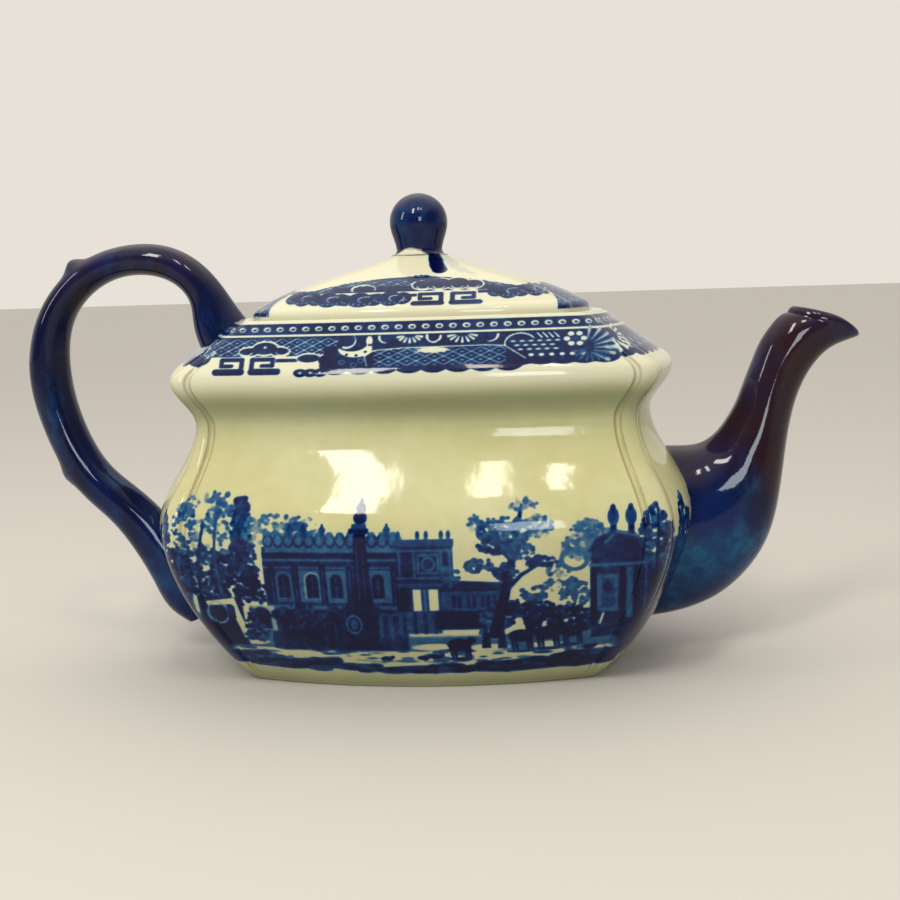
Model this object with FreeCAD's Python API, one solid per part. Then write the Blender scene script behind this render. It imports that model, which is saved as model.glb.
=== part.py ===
"""Oblong eight-lobed stoneware teapot: body, spout, handle, lid and lid knob, in millimetres.

The origin is the middle of the foot, +Z is up, the spout points along +X and the handle along -X.
"""
import FreeCAD, Part
import math
import os
from collections import namedtuple

# --- Plan of the body at its key heights -------------------------------------------------------
# Every horizontal section is an octagon of eight outward-bowed panels that meet at shallow creases.
# half_length and half_depth reach to the middle of the end and front panels, a crown is how far a
# panel bows out, and a corner lobe runs lobe_length along X and lobe_depth along Y.
Level = namedtuple(
    "Level",
    "height half_length half_depth front_crown end_crown lobe_length lobe_depth lobe_crown",
)
BELLY_HEIGHT = 48.0
NECK_RISE = 31.3            # from the belly up to the neck
SHOULDER_RISE = 13.3        # from the neck up to the shoulder's edge
RIM_RISE = 17.0             # from the shoulder's edge up to the rim
FOOT = Level(0.0, 62.0, 39.5, 7.5, 7.5, 6.0, 6.5, 1.6)
BELLY = Level(BELLY_HEIGHT, 84.0, 57.0, 6.5, 9.5, 8.0, 7.5, 2.2)
NECK = Level(BELLY.height + NECK_RISE, 71.4, 43.5, 4.5, 6.0, 6.2, 6.8, 1.9)
SHOULDER = Level(NECK.height + SHOULDER_RISE, 78.3, 48.5, 6.0, 6.6, 6.8, 8.5, 2.3)
RIM = Level(SHOULDER.height + RIM_RISE, 57.3, 37.5, 5.0, 6.0, 5.5, 6.0, 1.5)

BELLY_POWER = 1.67          # how slowly the belly turns in towards the foot
SHOULDER_TURN = 0.12        # where the shoulder's rounded edge turns, as a share of the slope
SHOULDER_SOFTNESS = 0.09    # how round that edge is, as a share of the slope
SECTIONS_PER_SPAN = 5       # lofted sections from one key height to the next
OVERCUT = 1.0               # how far a cutting shape runs past the face that it opens

# --- Shell of the body ---------------------------------------------------------------------------
BODY_WALL = 4.5
FOOT_RING_WIDTH = 5.0
FOOT_RING_HEIGHT = 2.0
FLOOR_THICKNESS = 5.5
RIM_LIP_WIDTH = 3.6         # flat top of the rim, outside the lid
SEAT_DEPTH = 1.9            # the lid's seat lies this far under the rim
SEAT_WIDTH = 8.0
SEAT_THICKNESS = 3.6
STRAINER_HOLE_DIAMETER = 5.0
STRAINER_PITCH = 8.0
STRAINER_DROP = 8.0         # the strainer's middle is this far under the belly's widest height
STRAINER_RINGS = 1          # rings of holes round the middle one

# --- Lid -----------------------------------------------------------------------------------------
LID_SIDE_CLEARANCE = 0.5
LID_SEAT_CLEARANCE = 0.2
LID_EDGE_HEIGHT = 2.7       # upright part of the lid's edge
LID_EDGE_RADIUS = 2.6
LID_EDGE_TURN = 70.0        # degrees that the rounded edge turns before the roof starts
LID_ROOF_RISE = 15.3        # from the rounded edge up to the knob
LID_ROOF_SWELL = 2.2        # how far the outer roof rises over a straight slope
LID_ROOF_TURN = 0.8         # share of the way to the knob where that swell turns hollow
LID_WALL = 4.2
LID_FLANGE_WALL = 3.5
LID_FLANGE_DEPTH = 9.0
LID_FLANGE_CLEARANCE = 0.9
ROOF_SECTIONS = 8
EDGE_SECTIONS = 3
VENT_DIAMETER = 2.6
VENT_BACK = 17.0            # the steam vent is this far behind the knob

# --- Knob: a turned egg on a short neck ----------------------------------------------------------
KNOB_NECK_DIAMETER = 15.6
KNOB_DIAMETER = 18.2
KNOB_HEIGHT = 18.8
KNOB_WIDEST_HEIGHT = 11.0
KNOB_ROUND_OFF = 50.0       # degrees up the top's elliptical quarter where its outline is pinned
KNOB_FLARE = 0.05           # how much the neck widens for each unit that it rises, at its foot

# --- Spout: ovals across an S-shaped line --------------------------------------------------------
# out and up are measured from the belly's end, lean is the angle of the oval's long axis from +X.
SpoutRing = namedtuple("SpoutRing", "out up lean depth width")
SPOUT_RINGS = [
    SpoutRing(-21.0, -10.0, 84.0, 56.5, 35.0),
    SpoutRing(-4.0, -9.0, 89.0, 53.5, 34.0),
    SpoutRing(5.5, -6.2, 96.0, 49.4, 31.0),
    SpoutRing(12.3, -1.0, 102.0, 45.4, 28.0),
    SpoutRing(17.9, 7.2, 108.6, 40.0, 25.0),
    SpoutRing(21.2, 17.6, 117.0, 30.4, 21.5),
    SpoutRing(23.4, 28.4, 126.0, 22.6, 18.8),
    SpoutRing(25.6, 36.6, 131.5, 19.4, 17.4),
    SpoutRing(28.6, 44.1, 134.5, 18.4, 16.6),
    SpoutRing(32.2, 49.5, 140.0, 17.9, 16.0),
    SpoutRing(36.0, 53.2, 150.0, 19.0, 15.4),
    SpoutRing(41.2, 56.1, 162.5, 23.0, 14.6),
]
SPOUT_WALL = 3.4
QUARTER_ARC = 0.5523        # pull of the control points of a quarter arc

# --- Handle: ovals across a loop -----------------------------------------------------------------
# The loop hangs from the shoulder's edge: out and up are measured from there. The tail lies against
# the belly: out is measured from the body at that height, and share is a share of the belly's
# height. thickness lies in the plane of the loop, and out runs towards -X.
LoopRing = namedtuple("LoopRing", "out up thickness width")
LOOP_RINGS = [
    LoopRing(-16.8, 7.4, 18.6, 18.0),
    LoopRing(-12.5, 16.0, 16.2, 15.5),
    LoopRing(-9.4, 24.2, 12.0, 13.0),
    LoopRing(-4.1, 31.2, 10.5, 12.6),
    LoopRing(3.7, 35.6, 10.3, 12.6),
    LoopRing(12.2, 36.8, 9.9, 12.8),
    LoopRing(21.7, 35.4, 9.7, 13.2),
    LoopRing(30.1, 31.4, 9.9, 13.8),
    LoopRing(40.1, 20.6, 10.7, 14.4),
    LoopRing(44.4, 2.4, 12.8, 14.6),
    LoopRing(40.7, -17.1, 12.8, 14.4),
]
TailRing = namedtuple("TailRing", "out share thickness width")
TAIL_RINGS = [
    TailRing(24.9, 1.192, 13.2, 14.0),
    TailRing(16.8, 1.033, 13.8, 14.0),
    TailRing(9.2, 0.821, 15.4, 14.4),
    TailRing(6.4, 0.571, 16.2, 14.8),
    TailRing(6.2, 0.346, 14.6, 13.0),
    TailRing(6.7, 0.246, 9.0, 9.0),
]
SPUR_OUT = 32.7             # thumb spur on the outer bend, from the shoulder's edge
SPUR_UP = 35.6
SPUR_LENGTH = 9.0
SPUR_WIDTH = 6.0
SPUR_LEAN = 55.0            # degrees from +X


def level_fields(change, *levels):
    """A level whose every size is change(size of each given level)."""
    return Level(*[change(*sizes) for sizes in zip(*levels)])


def between(low, high, share, rise):
    """Level at the given share of the height, with its plan a rise of the way from low to high."""
    plan = level_fields(lambda a, b: a + (b - a) * rise, low, high)
    return plan._replace(height=low.height + (high.height - low.height) * share)


def inset(level, distance):
    """The same plan drawn in by a distance all round."""
    return level._replace(
        half_length=level.half_length - distance, half_depth=level.half_depth - distance
    )


def ease(share):
    return (1.0 - math.cos(math.pi * share)) / 2.0


def belly_rise(share):
    return 1.0 - (1.0 - share) ** BELLY_POWER


def shoulder_rise(share):
    """Round at the shoulder's edge, then a nearly straight slope up to the rim."""
    def bend(x):
        x = x - SHOULDER_TURN
        return x + math.hypot(x, SHOULDER_SOFTNESS)

    return (bend(share) - bend(0.0)) / (bend(1.0) - bend(0.0))


BODY_SPANS = [
    (FOOT, BELLY, belly_rise),
    (BELLY, NECK, ease),
    (NECK, SHOULDER, ease),
    (SHOULDER, RIM, shoulder_rise),
]


def body_level(height):
    """The outer plan of the body at any height."""
    for low, high, rise in BODY_SPANS:
        if height <= high.height or high is RIM:
            share = (height - low.height) / (high.height - low.height)
            return between(low, high, share, rise(share))


def body_heights(bottom, top):
    """Heights of the lofted sections from bottom to top."""
    heights = [bottom, top]
    for low, high, _ in BODY_SPANS:
        step = (high.height - low.height) / SECTIONS_PER_SPAN
        inside = [low.height + step * k for k in range(SECTIONS_PER_SPAN)]
        heights += [h for h in inside if bottom + step / 2 < h < top - step / 2]
    return sorted(heights)


def bowed_panel(start, end, crown, height):
    """Control points of a round arch from start to end that bows away from the axis by crown."""
    run = FreeCAD.Vector(end[0] - start[0], end[1] - start[1], 0)
    out = FreeCAD.Vector(run.y, -run.x, 0) / run.Length
    half_turn = 2.0 * math.atan(2.0 * crown / run.Length)
    radius = run.Length / (2.0 * math.sin(half_turn))
    pull = 4.0 / 3.0 * math.tan(half_turn / 2.0) * radius
    along = run / run.Length * math.cos(half_turn) * pull
    away = out * math.sin(half_turn) * pull
    first = FreeCAD.Vector(start[0], start[1], height)
    last = FreeCAD.Vector(end[0], end[1], height)
    return [first, first + along + away, last - along + away, last]


def octagon(level):
    """Closed outline of the eight bowed panels, anticlockwise from the front panel."""
    lobe_x = level.half_length - level.end_crown
    crease_x = lobe_x - level.lobe_length
    crease_y = level.half_depth - level.front_crown
    lobe_y = crease_y - level.lobe_depth
    corners = [(-crease_x, -crease_y), (crease_x, -crease_y), (lobe_x, -lobe_y), (lobe_x, lobe_y)]
    corners += [(-x, -y) for x, y in corners]
    crowns = [level.front_crown, level.lobe_crown, level.end_crown, level.lobe_crown] * 2
    panels = []
    for index, crown in enumerate(crowns):
        following = corners[(index + 1) % len(corners)]
        panels.append(bowed_panel(corners[index], following, crown, level.height))
    return panels


def oval(centre, along, depth, width):
    """Closed outline of four quarter arcs: depth along a direction in the XZ plane, width along Y."""
    reach = along * (depth / 2.0)
    side = FreeCAD.Vector(0, width / 2.0, 0)
    axes = [reach, side, -reach, -side]
    panels = []
    for index, first in enumerate(axes):
        second = axes[(index + 1) % len(axes)]
        pull = [first, first + second * QUARTER_ARC, second + first * QUARTER_ARC, second]
        panels.append([centre + point for point in pull])
    return panels


def track(points, stations):
    """Smooth curve through one control point of every outline."""
    curve = Part.BSplineCurve()
    if len(points) == 2:
        curve.buildFromPolesMultsKnots(points, [2, 2], stations, False, 1)
    else:
        curve.interpolate(Points=points, Parameters=stations)
    return curve


def cap(outline):
    edges = []
    for panel in outline:
        curve = Part.BezierCurve()
        curve.setPoles(panel)
        edges.append(curve.toShape())
    return Part.Face(Part.Wire(edges))


def panel_surface(tracks):
    """Surface whose control columns are the given tracks."""
    rows = [[curve.getPole(k + 1) for curve in tracks] for k in range(tracks[0].NbPoles)]
    surface = Part.BSplineSurface()
    degree = len(tracks) - 1
    surface.buildFromPolesMultsKnots(
        rows, tracks[0].getMultiplicities(), [degree + 1] * 2, tracks[0].getKnots(), [0.0, 1.0],
        False, False, tracks[0].Degree, degree,
    )
    return surface


def lofted(outlines):
    """Smooth closed solid through a row of outlines with the same number of panels."""
    stations = [0.0]
    for low, high in zip(outlines, outlines[1:]):
        steps = [b.distanceToPoint(a) for p, q in zip(low, high) for a, b in zip(p, q)]
        stations.append(stations[-1] + sum(steps) / len(steps))
    faces = [cap(outlines[0]), cap(outlines[-1])]
    for panels in zip(*outlines):
        tracks = [track(list(points), stations) for points in zip(*panels)]
        faces.append(panel_surface(tracks).toShape())
    shell = Part.Shell(faces)
    shell.sewShape()
    solid = Part.Solid(shell)
    if solid.Volume < 0:
        solid.reverse()
    return solid


def level_loft(levels):
    return lofted([octagon(level) for level in levels])


def straight(level, bottom, top):
    """Upright prism of a level's plan."""
    return level_loft([level._replace(height=bottom), level._replace(height=top)])


# --- Levels that the body and the lid share ------------------------------------------------------
SEAT_HEIGHT = RIM.height - SEAT_DEPTH
SEAT = inset(RIM, RIM_LIP_WIDTH)
MOUTH = inset(SEAT, SEAT_WIDTH)
LID_EDGE = inset(SEAT, LID_SIDE_CLEARANCE)
LID_BOTTOM = SEAT_HEIGHT + LID_SEAT_CLEARANCE


def body_outside():
    return level_loft([body_level(h) for h in body_heights(FOOT.height, RIM.height)])


def body_cavity():
    floor_top = FOOT_RING_HEIGHT + FLOOR_THICKNESS
    ceiling = SEAT_HEIGHT - SEAT_THICKNESS
    heights = body_heights(floor_top, ceiling)
    return level_loft([inset(body_level(h), BODY_WALL) for h in heights])


def strainer_holes():
    """Round holes through the end wall behind the spout."""
    middle = BELLY.height - STRAINER_DROP
    centres = [(0.0, middle)]
    for ring in range(1, STRAINER_RINGS + 1):
        for step in range(6 * ring):
            angle = 2.0 * math.pi * step / (6 * ring)
            across = STRAINER_PITCH * ring * math.cos(angle)
            up = STRAINER_PITCH * ring * math.sin(angle)
            centres.append((across, middle + up))
    reach = BELLY.half_length
    drills = []
    for across, height in centres:
        start = FreeCAD.Vector(reach / 2.0, across, height)
        along = FreeCAD.Vector(1, 0, 0)
        drills.append(Part.makeCylinder(STRAINER_HOLE_DIAMETER / 2.0, reach, start, along))
    return Part.makeCompound(drills)


def pot_body(outside):
    shell = outside.cut(body_cavity())
    shell = shell.cut(straight(MOUTH, SEAT_HEIGHT - SEAT_THICKNESS - OVERCUT, RIM.height))
    shell = shell.cut(straight(SEAT, SEAT_HEIGHT, RIM.height + OVERCUT))
    foot_inside = inset(FOOT, FOOT_RING_WIDTH)
    shell = shell.cut(straight(foot_inside, FOOT.height - OVERCUT, FOOT_RING_HEIGHT))
    return shell.cut(strainer_holes())


def spout_loft(shrink):
    """The spout's ovals lofted, each drawn in by shrink all round."""
    outlines = []
    for ring in SPOUT_RINGS:
        lean = math.radians(ring.lean)
        along = FreeCAD.Vector(math.cos(lean), 0, math.sin(lean))
        centre = FreeCAD.Vector(BELLY.half_length + ring.out, 0, BELLY.height + ring.up)
        outlines.append(oval(centre, along, ring.depth - 2 * shrink, ring.width - 2 * shrink))
    return lofted(outlines)


def spout(outside):
    return spout_loft(0.0).cut(spout_loft(SPOUT_WALL)).cut(outside)


def handle_centres():
    """Middles of the handle's ovals, from the shoulder round the loop to the end of the tail."""
    centres = []
    for ring in LOOP_RINGS:
        out = SHOULDER.half_length + ring.out
        centres.append(FreeCAD.Vector(-out, 0, SHOULDER.height + ring.up))
    for ring in TAIL_RINGS:
        height = BELLY.height * ring.share
        out = body_level(min(height, BELLY.height)).half_length + ring.out
        centres.append(FreeCAD.Vector(-out, 0, height))
    return centres


def handle_loft():
    centres = handle_centres()
    outlines = []
    for index, ring in enumerate(LOOP_RINGS + TAIL_RINGS):
        before = centres[max(index - 1, 0)]
        after = centres[min(index + 1, len(centres) - 1)]
        run = (after - before).normalize()
        along = FreeCAD.Vector(run.z, 0, -run.x)
        outlines.append(oval(centres[index], along, ring.thickness, ring.width))
    return lofted(outlines)


def thumb_spur():
    """Small egg-shaped rise on the outer bend of the handle."""
    lean = math.radians(SPUR_LEAN)
    egg = Part.makeSphere(1.0)
    stretch = FreeCAD.Matrix()
    stretch.scale(SPUR_LENGTH / 2, SPUR_WIDTH / 2, SPUR_WIDTH / 2)
    egg = egg.transformGeometry(stretch)
    egg.rotate(FreeCAD.Vector(0, 0, 0), FreeCAD.Vector(0, 1, 0), -math.degrees(lean))
    place = FreeCAD.Vector(-SHOULDER.half_length - SPUR_OUT, 0, SHOULDER.height + SPUR_UP)
    egg.translate(place)
    return egg


def handle(outside):
    return handle_loft().fuse(thumb_spur()).cut(outside)


def edge_level(turn):
    """Level of the lid's rounded edge after it has turned by some degrees."""
    turn = math.radians(turn)
    level = inset(LID_EDGE, LID_EDGE_RADIUS * (1.0 - math.cos(turn)))
    return level._replace(
        height=LID_BOTTOM + LID_EDGE_HEIGHT + LID_EDGE_RADIUS * math.sin(turn)
    )


def roof_levels(drop):
    """Levels of the lid's roof from its rounded edge to the knob, all lowered by drop."""
    neck = KNOB_NECK_DIAMETER / 2.0
    edge = edge_level(LID_EDGE_TURN)
    crown = neck - neck * math.cos(math.pi / 8)
    chord = 2 * neck * math.sin(math.pi / 8)
    step = chord * math.sin(math.pi / 4)
    top = Level(edge.height + LID_ROOF_RISE, neck, neck, crown, crown, step, step, crown)
    levels = []
    for k in range(ROOF_SECTIONS + 1):
        share = k / ROOF_SECTIONS
        level = between(edge, top, share, share)
        swell = LID_ROOF_SWELL * math.sin(math.pi * share) * (1.0 - share / LID_ROOF_TURN)
        levels.append(level._replace(height=level.height + swell - drop))
    return levels


def lid_outside():
    bottom = LID_EDGE._replace(height=LID_BOTTOM)
    turns = [LID_EDGE_TURN * k / EDGE_SECTIONS for k in range(EDGE_SECTIONS)]
    edge = [edge_level(turn) for turn in turns]
    return level_loft([bottom] + edge + roof_levels(0.0))


def lid():
    flange = inset(MOUTH, LID_FLANGE_CLEARANCE)
    flange_bottom = LID_BOTTOM - LID_FLANGE_DEPTH
    inside = inset(flange, LID_FLANGE_WALL)
    roof = roof_levels(LID_WALL)
    inner_wall = inside.half_length
    kept = [level for level in roof if level.half_length < inner_wall]
    hollow = level_loft([inside._replace(height=LID_BOTTOM + OVERCUT)] + kept)
    shape = lid_outside().fuse(straight(flange, flange_bottom, LID_BOTTOM))
    bore = straight(inside, flange_bottom - OVERCUT, LID_BOTTOM + OVERCUT)
    shape = shape.cut(bore).cut(hollow)
    vent_base = FreeCAD.Vector(0, VENT_BACK, flange_bottom)
    vent = Part.makeCylinder(VENT_DIAMETER / 2.0, 2.0 * RIM.height, vent_base)
    return shape.cut(vent)


def knob_base_height():
    return roof_levels(0.0)[-1].height


def lid_knob():
    """Half outline of the egg turned about Z."""
    base = knob_base_height()
    top = base + KNOB_HEIGHT
    widest = FreeCAD.Vector(KNOB_DIAMETER / 2.0, 0, base + KNOB_WIDEST_HEIGHT)
    foot = FreeCAD.Vector(KNOB_NECK_DIAMETER / 2.0, 0, base)
    tip = FreeCAD.Vector(0, 0, top)
    curve = Part.BSplineCurve()
    round_off = math.radians(KNOB_ROUND_OFF)
    shoulder = FreeCAD.Vector(
        widest.x * math.cos(round_off), 0, widest.z + (top - widest.z) * math.sin(round_off)
    )
    curve.interpolate(
        Points=[foot, widest, shoulder, tip],
        InitialTangent=FreeCAD.Vector(KNOB_FLARE, 0, 1),
        FinalTangent=FreeCAD.Vector(-1, 0, 0),
    )
    centre = FreeCAD.Vector(0, 0, base)
    outline = [curve.toShape(), Part.makeLine(tip, centre), Part.makeLine(centre, foot)]
    face = Part.Face(Part.Wire(outline))
    return face.revolve(FreeCAD.Vector(0, 0, 0), FreeCAD.Vector(0, 0, 1), 360)


def main():
    os.makedirs("parts", exist_ok=True)
    outside = body_outside()
    nodes = {
        "pot_body": pot_body(outside),
        "spout": spout(outside),
        "handle": handle(outside),
        "lid": lid(),
        "lid_knob": lid_knob(),
    }
    for name, shape in nodes.items():
        solid = shape.removeSplitter()
        box = solid.BoundBox
        print(
            f"{name:9s} solids {len(solid.Solids)} valid {solid.isValid()} "
            f"volume {solid.Volume / 1000:.1f} cm3 "
            f"x {box.XMin:.1f}..{box.XMax:.1f} y {box.YMin:.1f}..{box.YMax:.1f} "
            f"z {box.ZMin:.1f}..{box.ZMax:.1f}"
        )
        solid.exportStep(f"parts/{name}.step")


main()
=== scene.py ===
"""Looks of an oblong lobed teapot: cream glaze with blue printed scenes, and cobalt trim.

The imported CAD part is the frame. Every piece here is a smooth, dense skin of one of its nodes.
Shapes and prints are worked out in millimetres, and MM turns them into metres.
"""
import math
from collections import namedtuple

import bpy
import numpy as np
from mathutils import Matrix, Vector

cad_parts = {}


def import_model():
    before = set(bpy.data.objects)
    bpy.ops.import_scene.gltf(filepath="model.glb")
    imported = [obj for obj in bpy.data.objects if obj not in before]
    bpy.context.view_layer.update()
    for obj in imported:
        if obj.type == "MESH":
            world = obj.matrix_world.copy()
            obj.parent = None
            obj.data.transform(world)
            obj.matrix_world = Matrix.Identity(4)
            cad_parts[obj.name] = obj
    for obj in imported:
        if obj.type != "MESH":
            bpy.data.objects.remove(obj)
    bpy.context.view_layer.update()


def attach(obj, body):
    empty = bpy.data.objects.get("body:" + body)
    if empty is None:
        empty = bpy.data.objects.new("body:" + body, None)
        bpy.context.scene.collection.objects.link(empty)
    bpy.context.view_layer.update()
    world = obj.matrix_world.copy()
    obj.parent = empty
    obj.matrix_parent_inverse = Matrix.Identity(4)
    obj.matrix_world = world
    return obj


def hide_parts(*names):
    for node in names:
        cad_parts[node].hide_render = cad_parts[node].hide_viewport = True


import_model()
MM = 0.001

# --- Plan of the body at its key heights ---------------------------------------------------------
# A crown is how far a panel bows out. The lobes are the four panels on the corners.
Level = namedtuple(
    "Level",
    "height half_length half_depth front_crown end_crown lobe_length lobe_depth lobe_crown",
)
FOOT = Level(0.0, 62.0, 39.5, 7.5, 7.5, 6.0, 6.5, 1.6)
BELLY = Level(48.0, 84.0, 57.0, 6.5, 9.5, 8.0, 7.5, 2.2)
NECK = Level(79.3, 71.4, 43.5, 4.5, 6.0, 6.2, 6.8, 1.9)
SHOULDER = Level(92.6, 78.3, 48.5, 6.0, 6.6, 6.8, 8.5, 2.3)
RIM = Level(109.6, 57.3, 37.5, 5.0, 6.0, 5.5, 6.0, 1.5)
BELLY_POWER = 1.67          # fullness of the curve from foot to belly
SHOULDER_TURN = 0.12        # share of the way to the rim at which the shoulder turns inwards
SHOULDER_SOFTNESS = 0.09
BODY_WALL = 4.5
FOOT_RING_WIDTH = 5.0
FOOT_RING_HEIGHT = 2.0
FLOOR_THICKNESS = 5.5
RIM_LIP_WIDTH = 3.6
SEAT_DEPTH = 1.9
SEAT_WIDTH = 8.0
SEAT_THICKNESS = 3.6
SOFT_EDGE = 0.7             # how round the glaze leaves the edges of rim and foot
CREASE_DEPTH = 0.7          # creases between the panels
CREASE_WIDTH = 0.65
CREASE_FOOT = (1.5, 4.0)    # height at which they begin, and over which they deepen
CREASE_TOP = (101.0, 5.0)   # height at which they end, and over which they fade
CREASE_LINE = 0.92          # from a crease's middle to the thin glaze on its edge
CREASE_LINE_WIDTH = 0.26
SHADE_HEIGHT = 85.8          # where painted shade is darkest, under the shoulder's overhang
SHADE_ABOVE = 3.6            # how far that painted shade reaches up and down from there
SHADE_BELOW = 6.6
FOOT_SHADOW_REACH = 5.0             # and how far a painted contact shadow reaches up from the table
FOOT_SHADOW_STRENGTH = 0.95

# --- Lid and knob --------------------------------------------------------------------------------
LID_SIDE_CLEARANCE = 0.5
LID_SEAT_CLEARANCE = 0.2
LID_EDGE_HEIGHT = 2.7
LID_EDGE_RADIUS = 2.6
LID_EDGE_TURN = 70.0
LID_ROOF_RISE = 15.3
LID_ROOF_SWELL = 2.2
LID_ROOF_TURN = 0.8         # share of the roof at which its swell turns into a hollow
LID_WALL = 4.2
LID_FLANGE_WALL = 3.5
LID_FLANGE_DEPTH = 9.0
LID_FLANGE_CLEARANCE = 0.9
VENT_DIAMETER = 2.6
VENT_BACK = 17.0
VENT_DEPTH = 3.6
VENT_EDGE = 0.3
KNOB_NECK_DIAMETER = 15.6
KNOB_DIAMETER = 18.2
KNOB_HEIGHT = 18.8
KNOB_WIDEST_HEIGHT = 9.9
KNOB_FULLNESS = 1.7         # of the curve from its neck to its widest height
KNOB_COVE = 1.8             # hollow round its foot
KNOB_SINK = 0.35            # how far it stands in the roof
HEM_LOW = -0.7              # where the knob's cobalt ends, above the roof's top
HEM_ARCH = 2.4              # and how far that swings up and down, twice round the knob
HEM_TURN = 2.5
HEM_SOFTNESS = 0.5

# --- Spout and handle: ovals across a line in the plane Y = 0 ------------------------------------
# Each spout oval is (out, height, lean, depth, width): its middle, its long axis's angle from +X,
# and its size along that axis and along Y. Each handle oval is (out, height, depth, width) and
# lies square to the handle's line.
SPOUT_OVALS = [
    (63.0, 38.0, 84.0, 56.5, 35.0), (80.0, 39.0, 89.0, 53.5, 34.0),
    (89.5, 41.8, 96.0, 49.4, 31.0), (96.3, 47.0, 102.0, 45.4, 28.0),
    (101.9, 55.2, 108.6, 40.0, 25.0), (105.2, 65.6, 117.0, 30.4, 21.5),
    (107.4, 76.4, 126.0, 22.6, 18.8), (109.6, 84.6, 131.5, 19.4, 17.4),
    (112.6, 92.1, 134.5, 18.4, 16.6), (116.2, 97.5, 140.0, 17.9, 16.0),
    (120.0, 101.2, 150.0, 19.0, 15.4), (125.2, 104.1, 162.5, 23.0, 14.6),
]
SPOUT_WALL = 3.4
LIP_ROUND = 2.2             # how far the spout's rolled lip rounds over
LIP_SWING = 0.9             # more than that at its back, less at its beak
LIP_START = -20.0           # degrees into its roll at which the lip begins
LIP_TUCK = 30.0             # later than that at its back, sooner at its beak
LIP_END = 170.0
LIP_CROWN = 2.4             # how far the lip's two sides stand above a flat mouth
LIP_BACK = 1.7              # and its back
HANDLE_OVALS = [
    (-61.5, 100.0, 18.6, 18.0), (-65.8, 108.6, 16.2, 15.5), (-68.9, 116.8, 12.0, 13.0),
    (-74.2, 123.8, 10.5, 12.6), (-82.0, 128.2, 10.3, 12.6), (-90.5, 129.4, 9.9, 12.8),
    (-100.0, 128.0, 9.7, 13.2), (-108.4, 124.0, 9.9, 13.8), (-118.4, 113.2, 10.7, 14.4),
    (-122.7, 95.0, 12.8, 14.6), (-119.0, 75.5, 12.8, 14.4), (-108.9, 57.2, 13.2, 14.0),
    (-100.8, 49.6, 13.8, 14.0), (-92.0, 39.4, 15.4, 14.4), (-85.0, 27.4, 16.2, 14.8),
    (-79.4, 16.6, 14.6, 13.0), (-77.0, 11.8, 9.0, 9.0),
]
HANDLE_TAIL = 0.6           # roundness of its lower end
SPUR = ((-112.0, 127.6), 2.6, 3.4)      # thumb spur: place, rise and reach
HEEL = ((-118.6, 60.0), 1.5, 4.0)       # heel of the loop
ROOT_DEPTH = 1.5            # how far the roots of spout and handle reach into the wall

# --- Fineness of the skins: columns on half the front panel, a lobe and half the end panel -------
BODY_COLUMNS = (200, 32, 50)
LID_COLUMNS = (120, 22, 44)
RING_COLUMNS = 96
SPOUT_ROWS = 150
LIP_ROWS = 19
LIP_EASING_ROWS = 16        # rows of the spout that lead over into the lip
HANDLE_ROWS = 420
BAKE_MARGIN = 0.002         # round every island of the bake map

# --- Prints: sheets in millimetres, and their tones ----------------------------------------------
LANDSCAPE_SHEET = (-114.0, 114.0, 2.0, 66.0)
SHOULDER_SHEET = (-114.0, 114.0, -1.0, 27.0)
LID_SHEET = (-72.0, 72.0, 0.0, 36.0)
SHOULDER_PRINT_FOOT = 88.0  # height above which the shoulder's print lies
BLEED_ROUNDS = 26           # how far the blue bleeds into the glaze round a print
DARK, NAVY, BLUE, TEAL, PALE, LINE, BARE = 1.0, 0.86, 0.62, 0.42, 0.22, 0.11, 0.0


# --- Levels: horizontal outlines of eight bowed panels -------------------------------------------
def between(low, high, share, rise):
    """Level at a share of the height, with its plan a rise of the way from low to high."""
    plan = Level(*[a + (b - a) * rise for a, b in zip(low, high)])
    return plan._replace(height=low.height + (high.height - low.height) * share)


def inset(level, distance, height=None):
    """A level drawn in all round, at its own height or at another."""
    length, depth = level.half_length - distance, level.half_depth - distance
    plan = level._replace(half_length=length, half_depth=depth)
    return plan if height is None else plan._replace(height=height)


def ease(share):
    return (1.0 - math.cos(math.pi * share)) / 2.0


def belly_rise(share):
    return 1.0 - (1.0 - share) ** BELLY_POWER


def shoulder_rise(share):
    def bend(x):
        return x - SHOULDER_TURN + math.hypot(x - SHOULDER_TURN, SHOULDER_SOFTNESS)

    return (bend(share) - bend(0.0)) / (bend(1.0) - bend(0.0))


BODY_SPANS = [
    (FOOT, BELLY, belly_rise),
    (BELLY, NECK, ease),
    (NECK, SHOULDER, ease),
    (SHOULDER, RIM, shoulder_rise),
]


def body_level(height):
    for low, high, rise in BODY_SPANS:
        if height <= high.height or high is RIM:
            share = min((height - low.height) / (high.height - low.height), 1.0)
            return between(low, high, share, rise(share))


SEAT_HEIGHT = RIM.height - SEAT_DEPTH
SEAT = inset(RIM, RIM_LIP_WIDTH)
MOUTH = inset(SEAT, SEAT_WIDTH)
LID_EDGE = inset(SEAT, LID_SIDE_CLEARANCE)
LID_BOTTOM = SEAT_HEIGHT + LID_SEAT_CLEARANCE


def rounded(level, height, radius, first, last):
    """Levels round an edge of a plan: at 0 degrees upright and full size, at 90 flat on top."""
    turns = np.radians(np.linspace(first, last, 5))
    return [
        inset(level, radius * (1.0 - math.cos(t)), height=height + radius * math.sin(t))
        for t in turns
    ]


def outside_heights():
    """Rows of the body's outer skin, close together where it is printed."""
    spans = [
        (1.2, 4.0, 5), (4.0, 64.0, 185), (64.0, 88.0, 30), (88.0, 93.0, 18),
        (93.0, RIM.height - SOFT_EDGE, 76),
    ]
    rows = [np.linspace(low, high, count, endpoint=False) for low, high, count in spans]
    return np.append(np.concatenate(rows), RIM.height - SOFT_EDGE)


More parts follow.
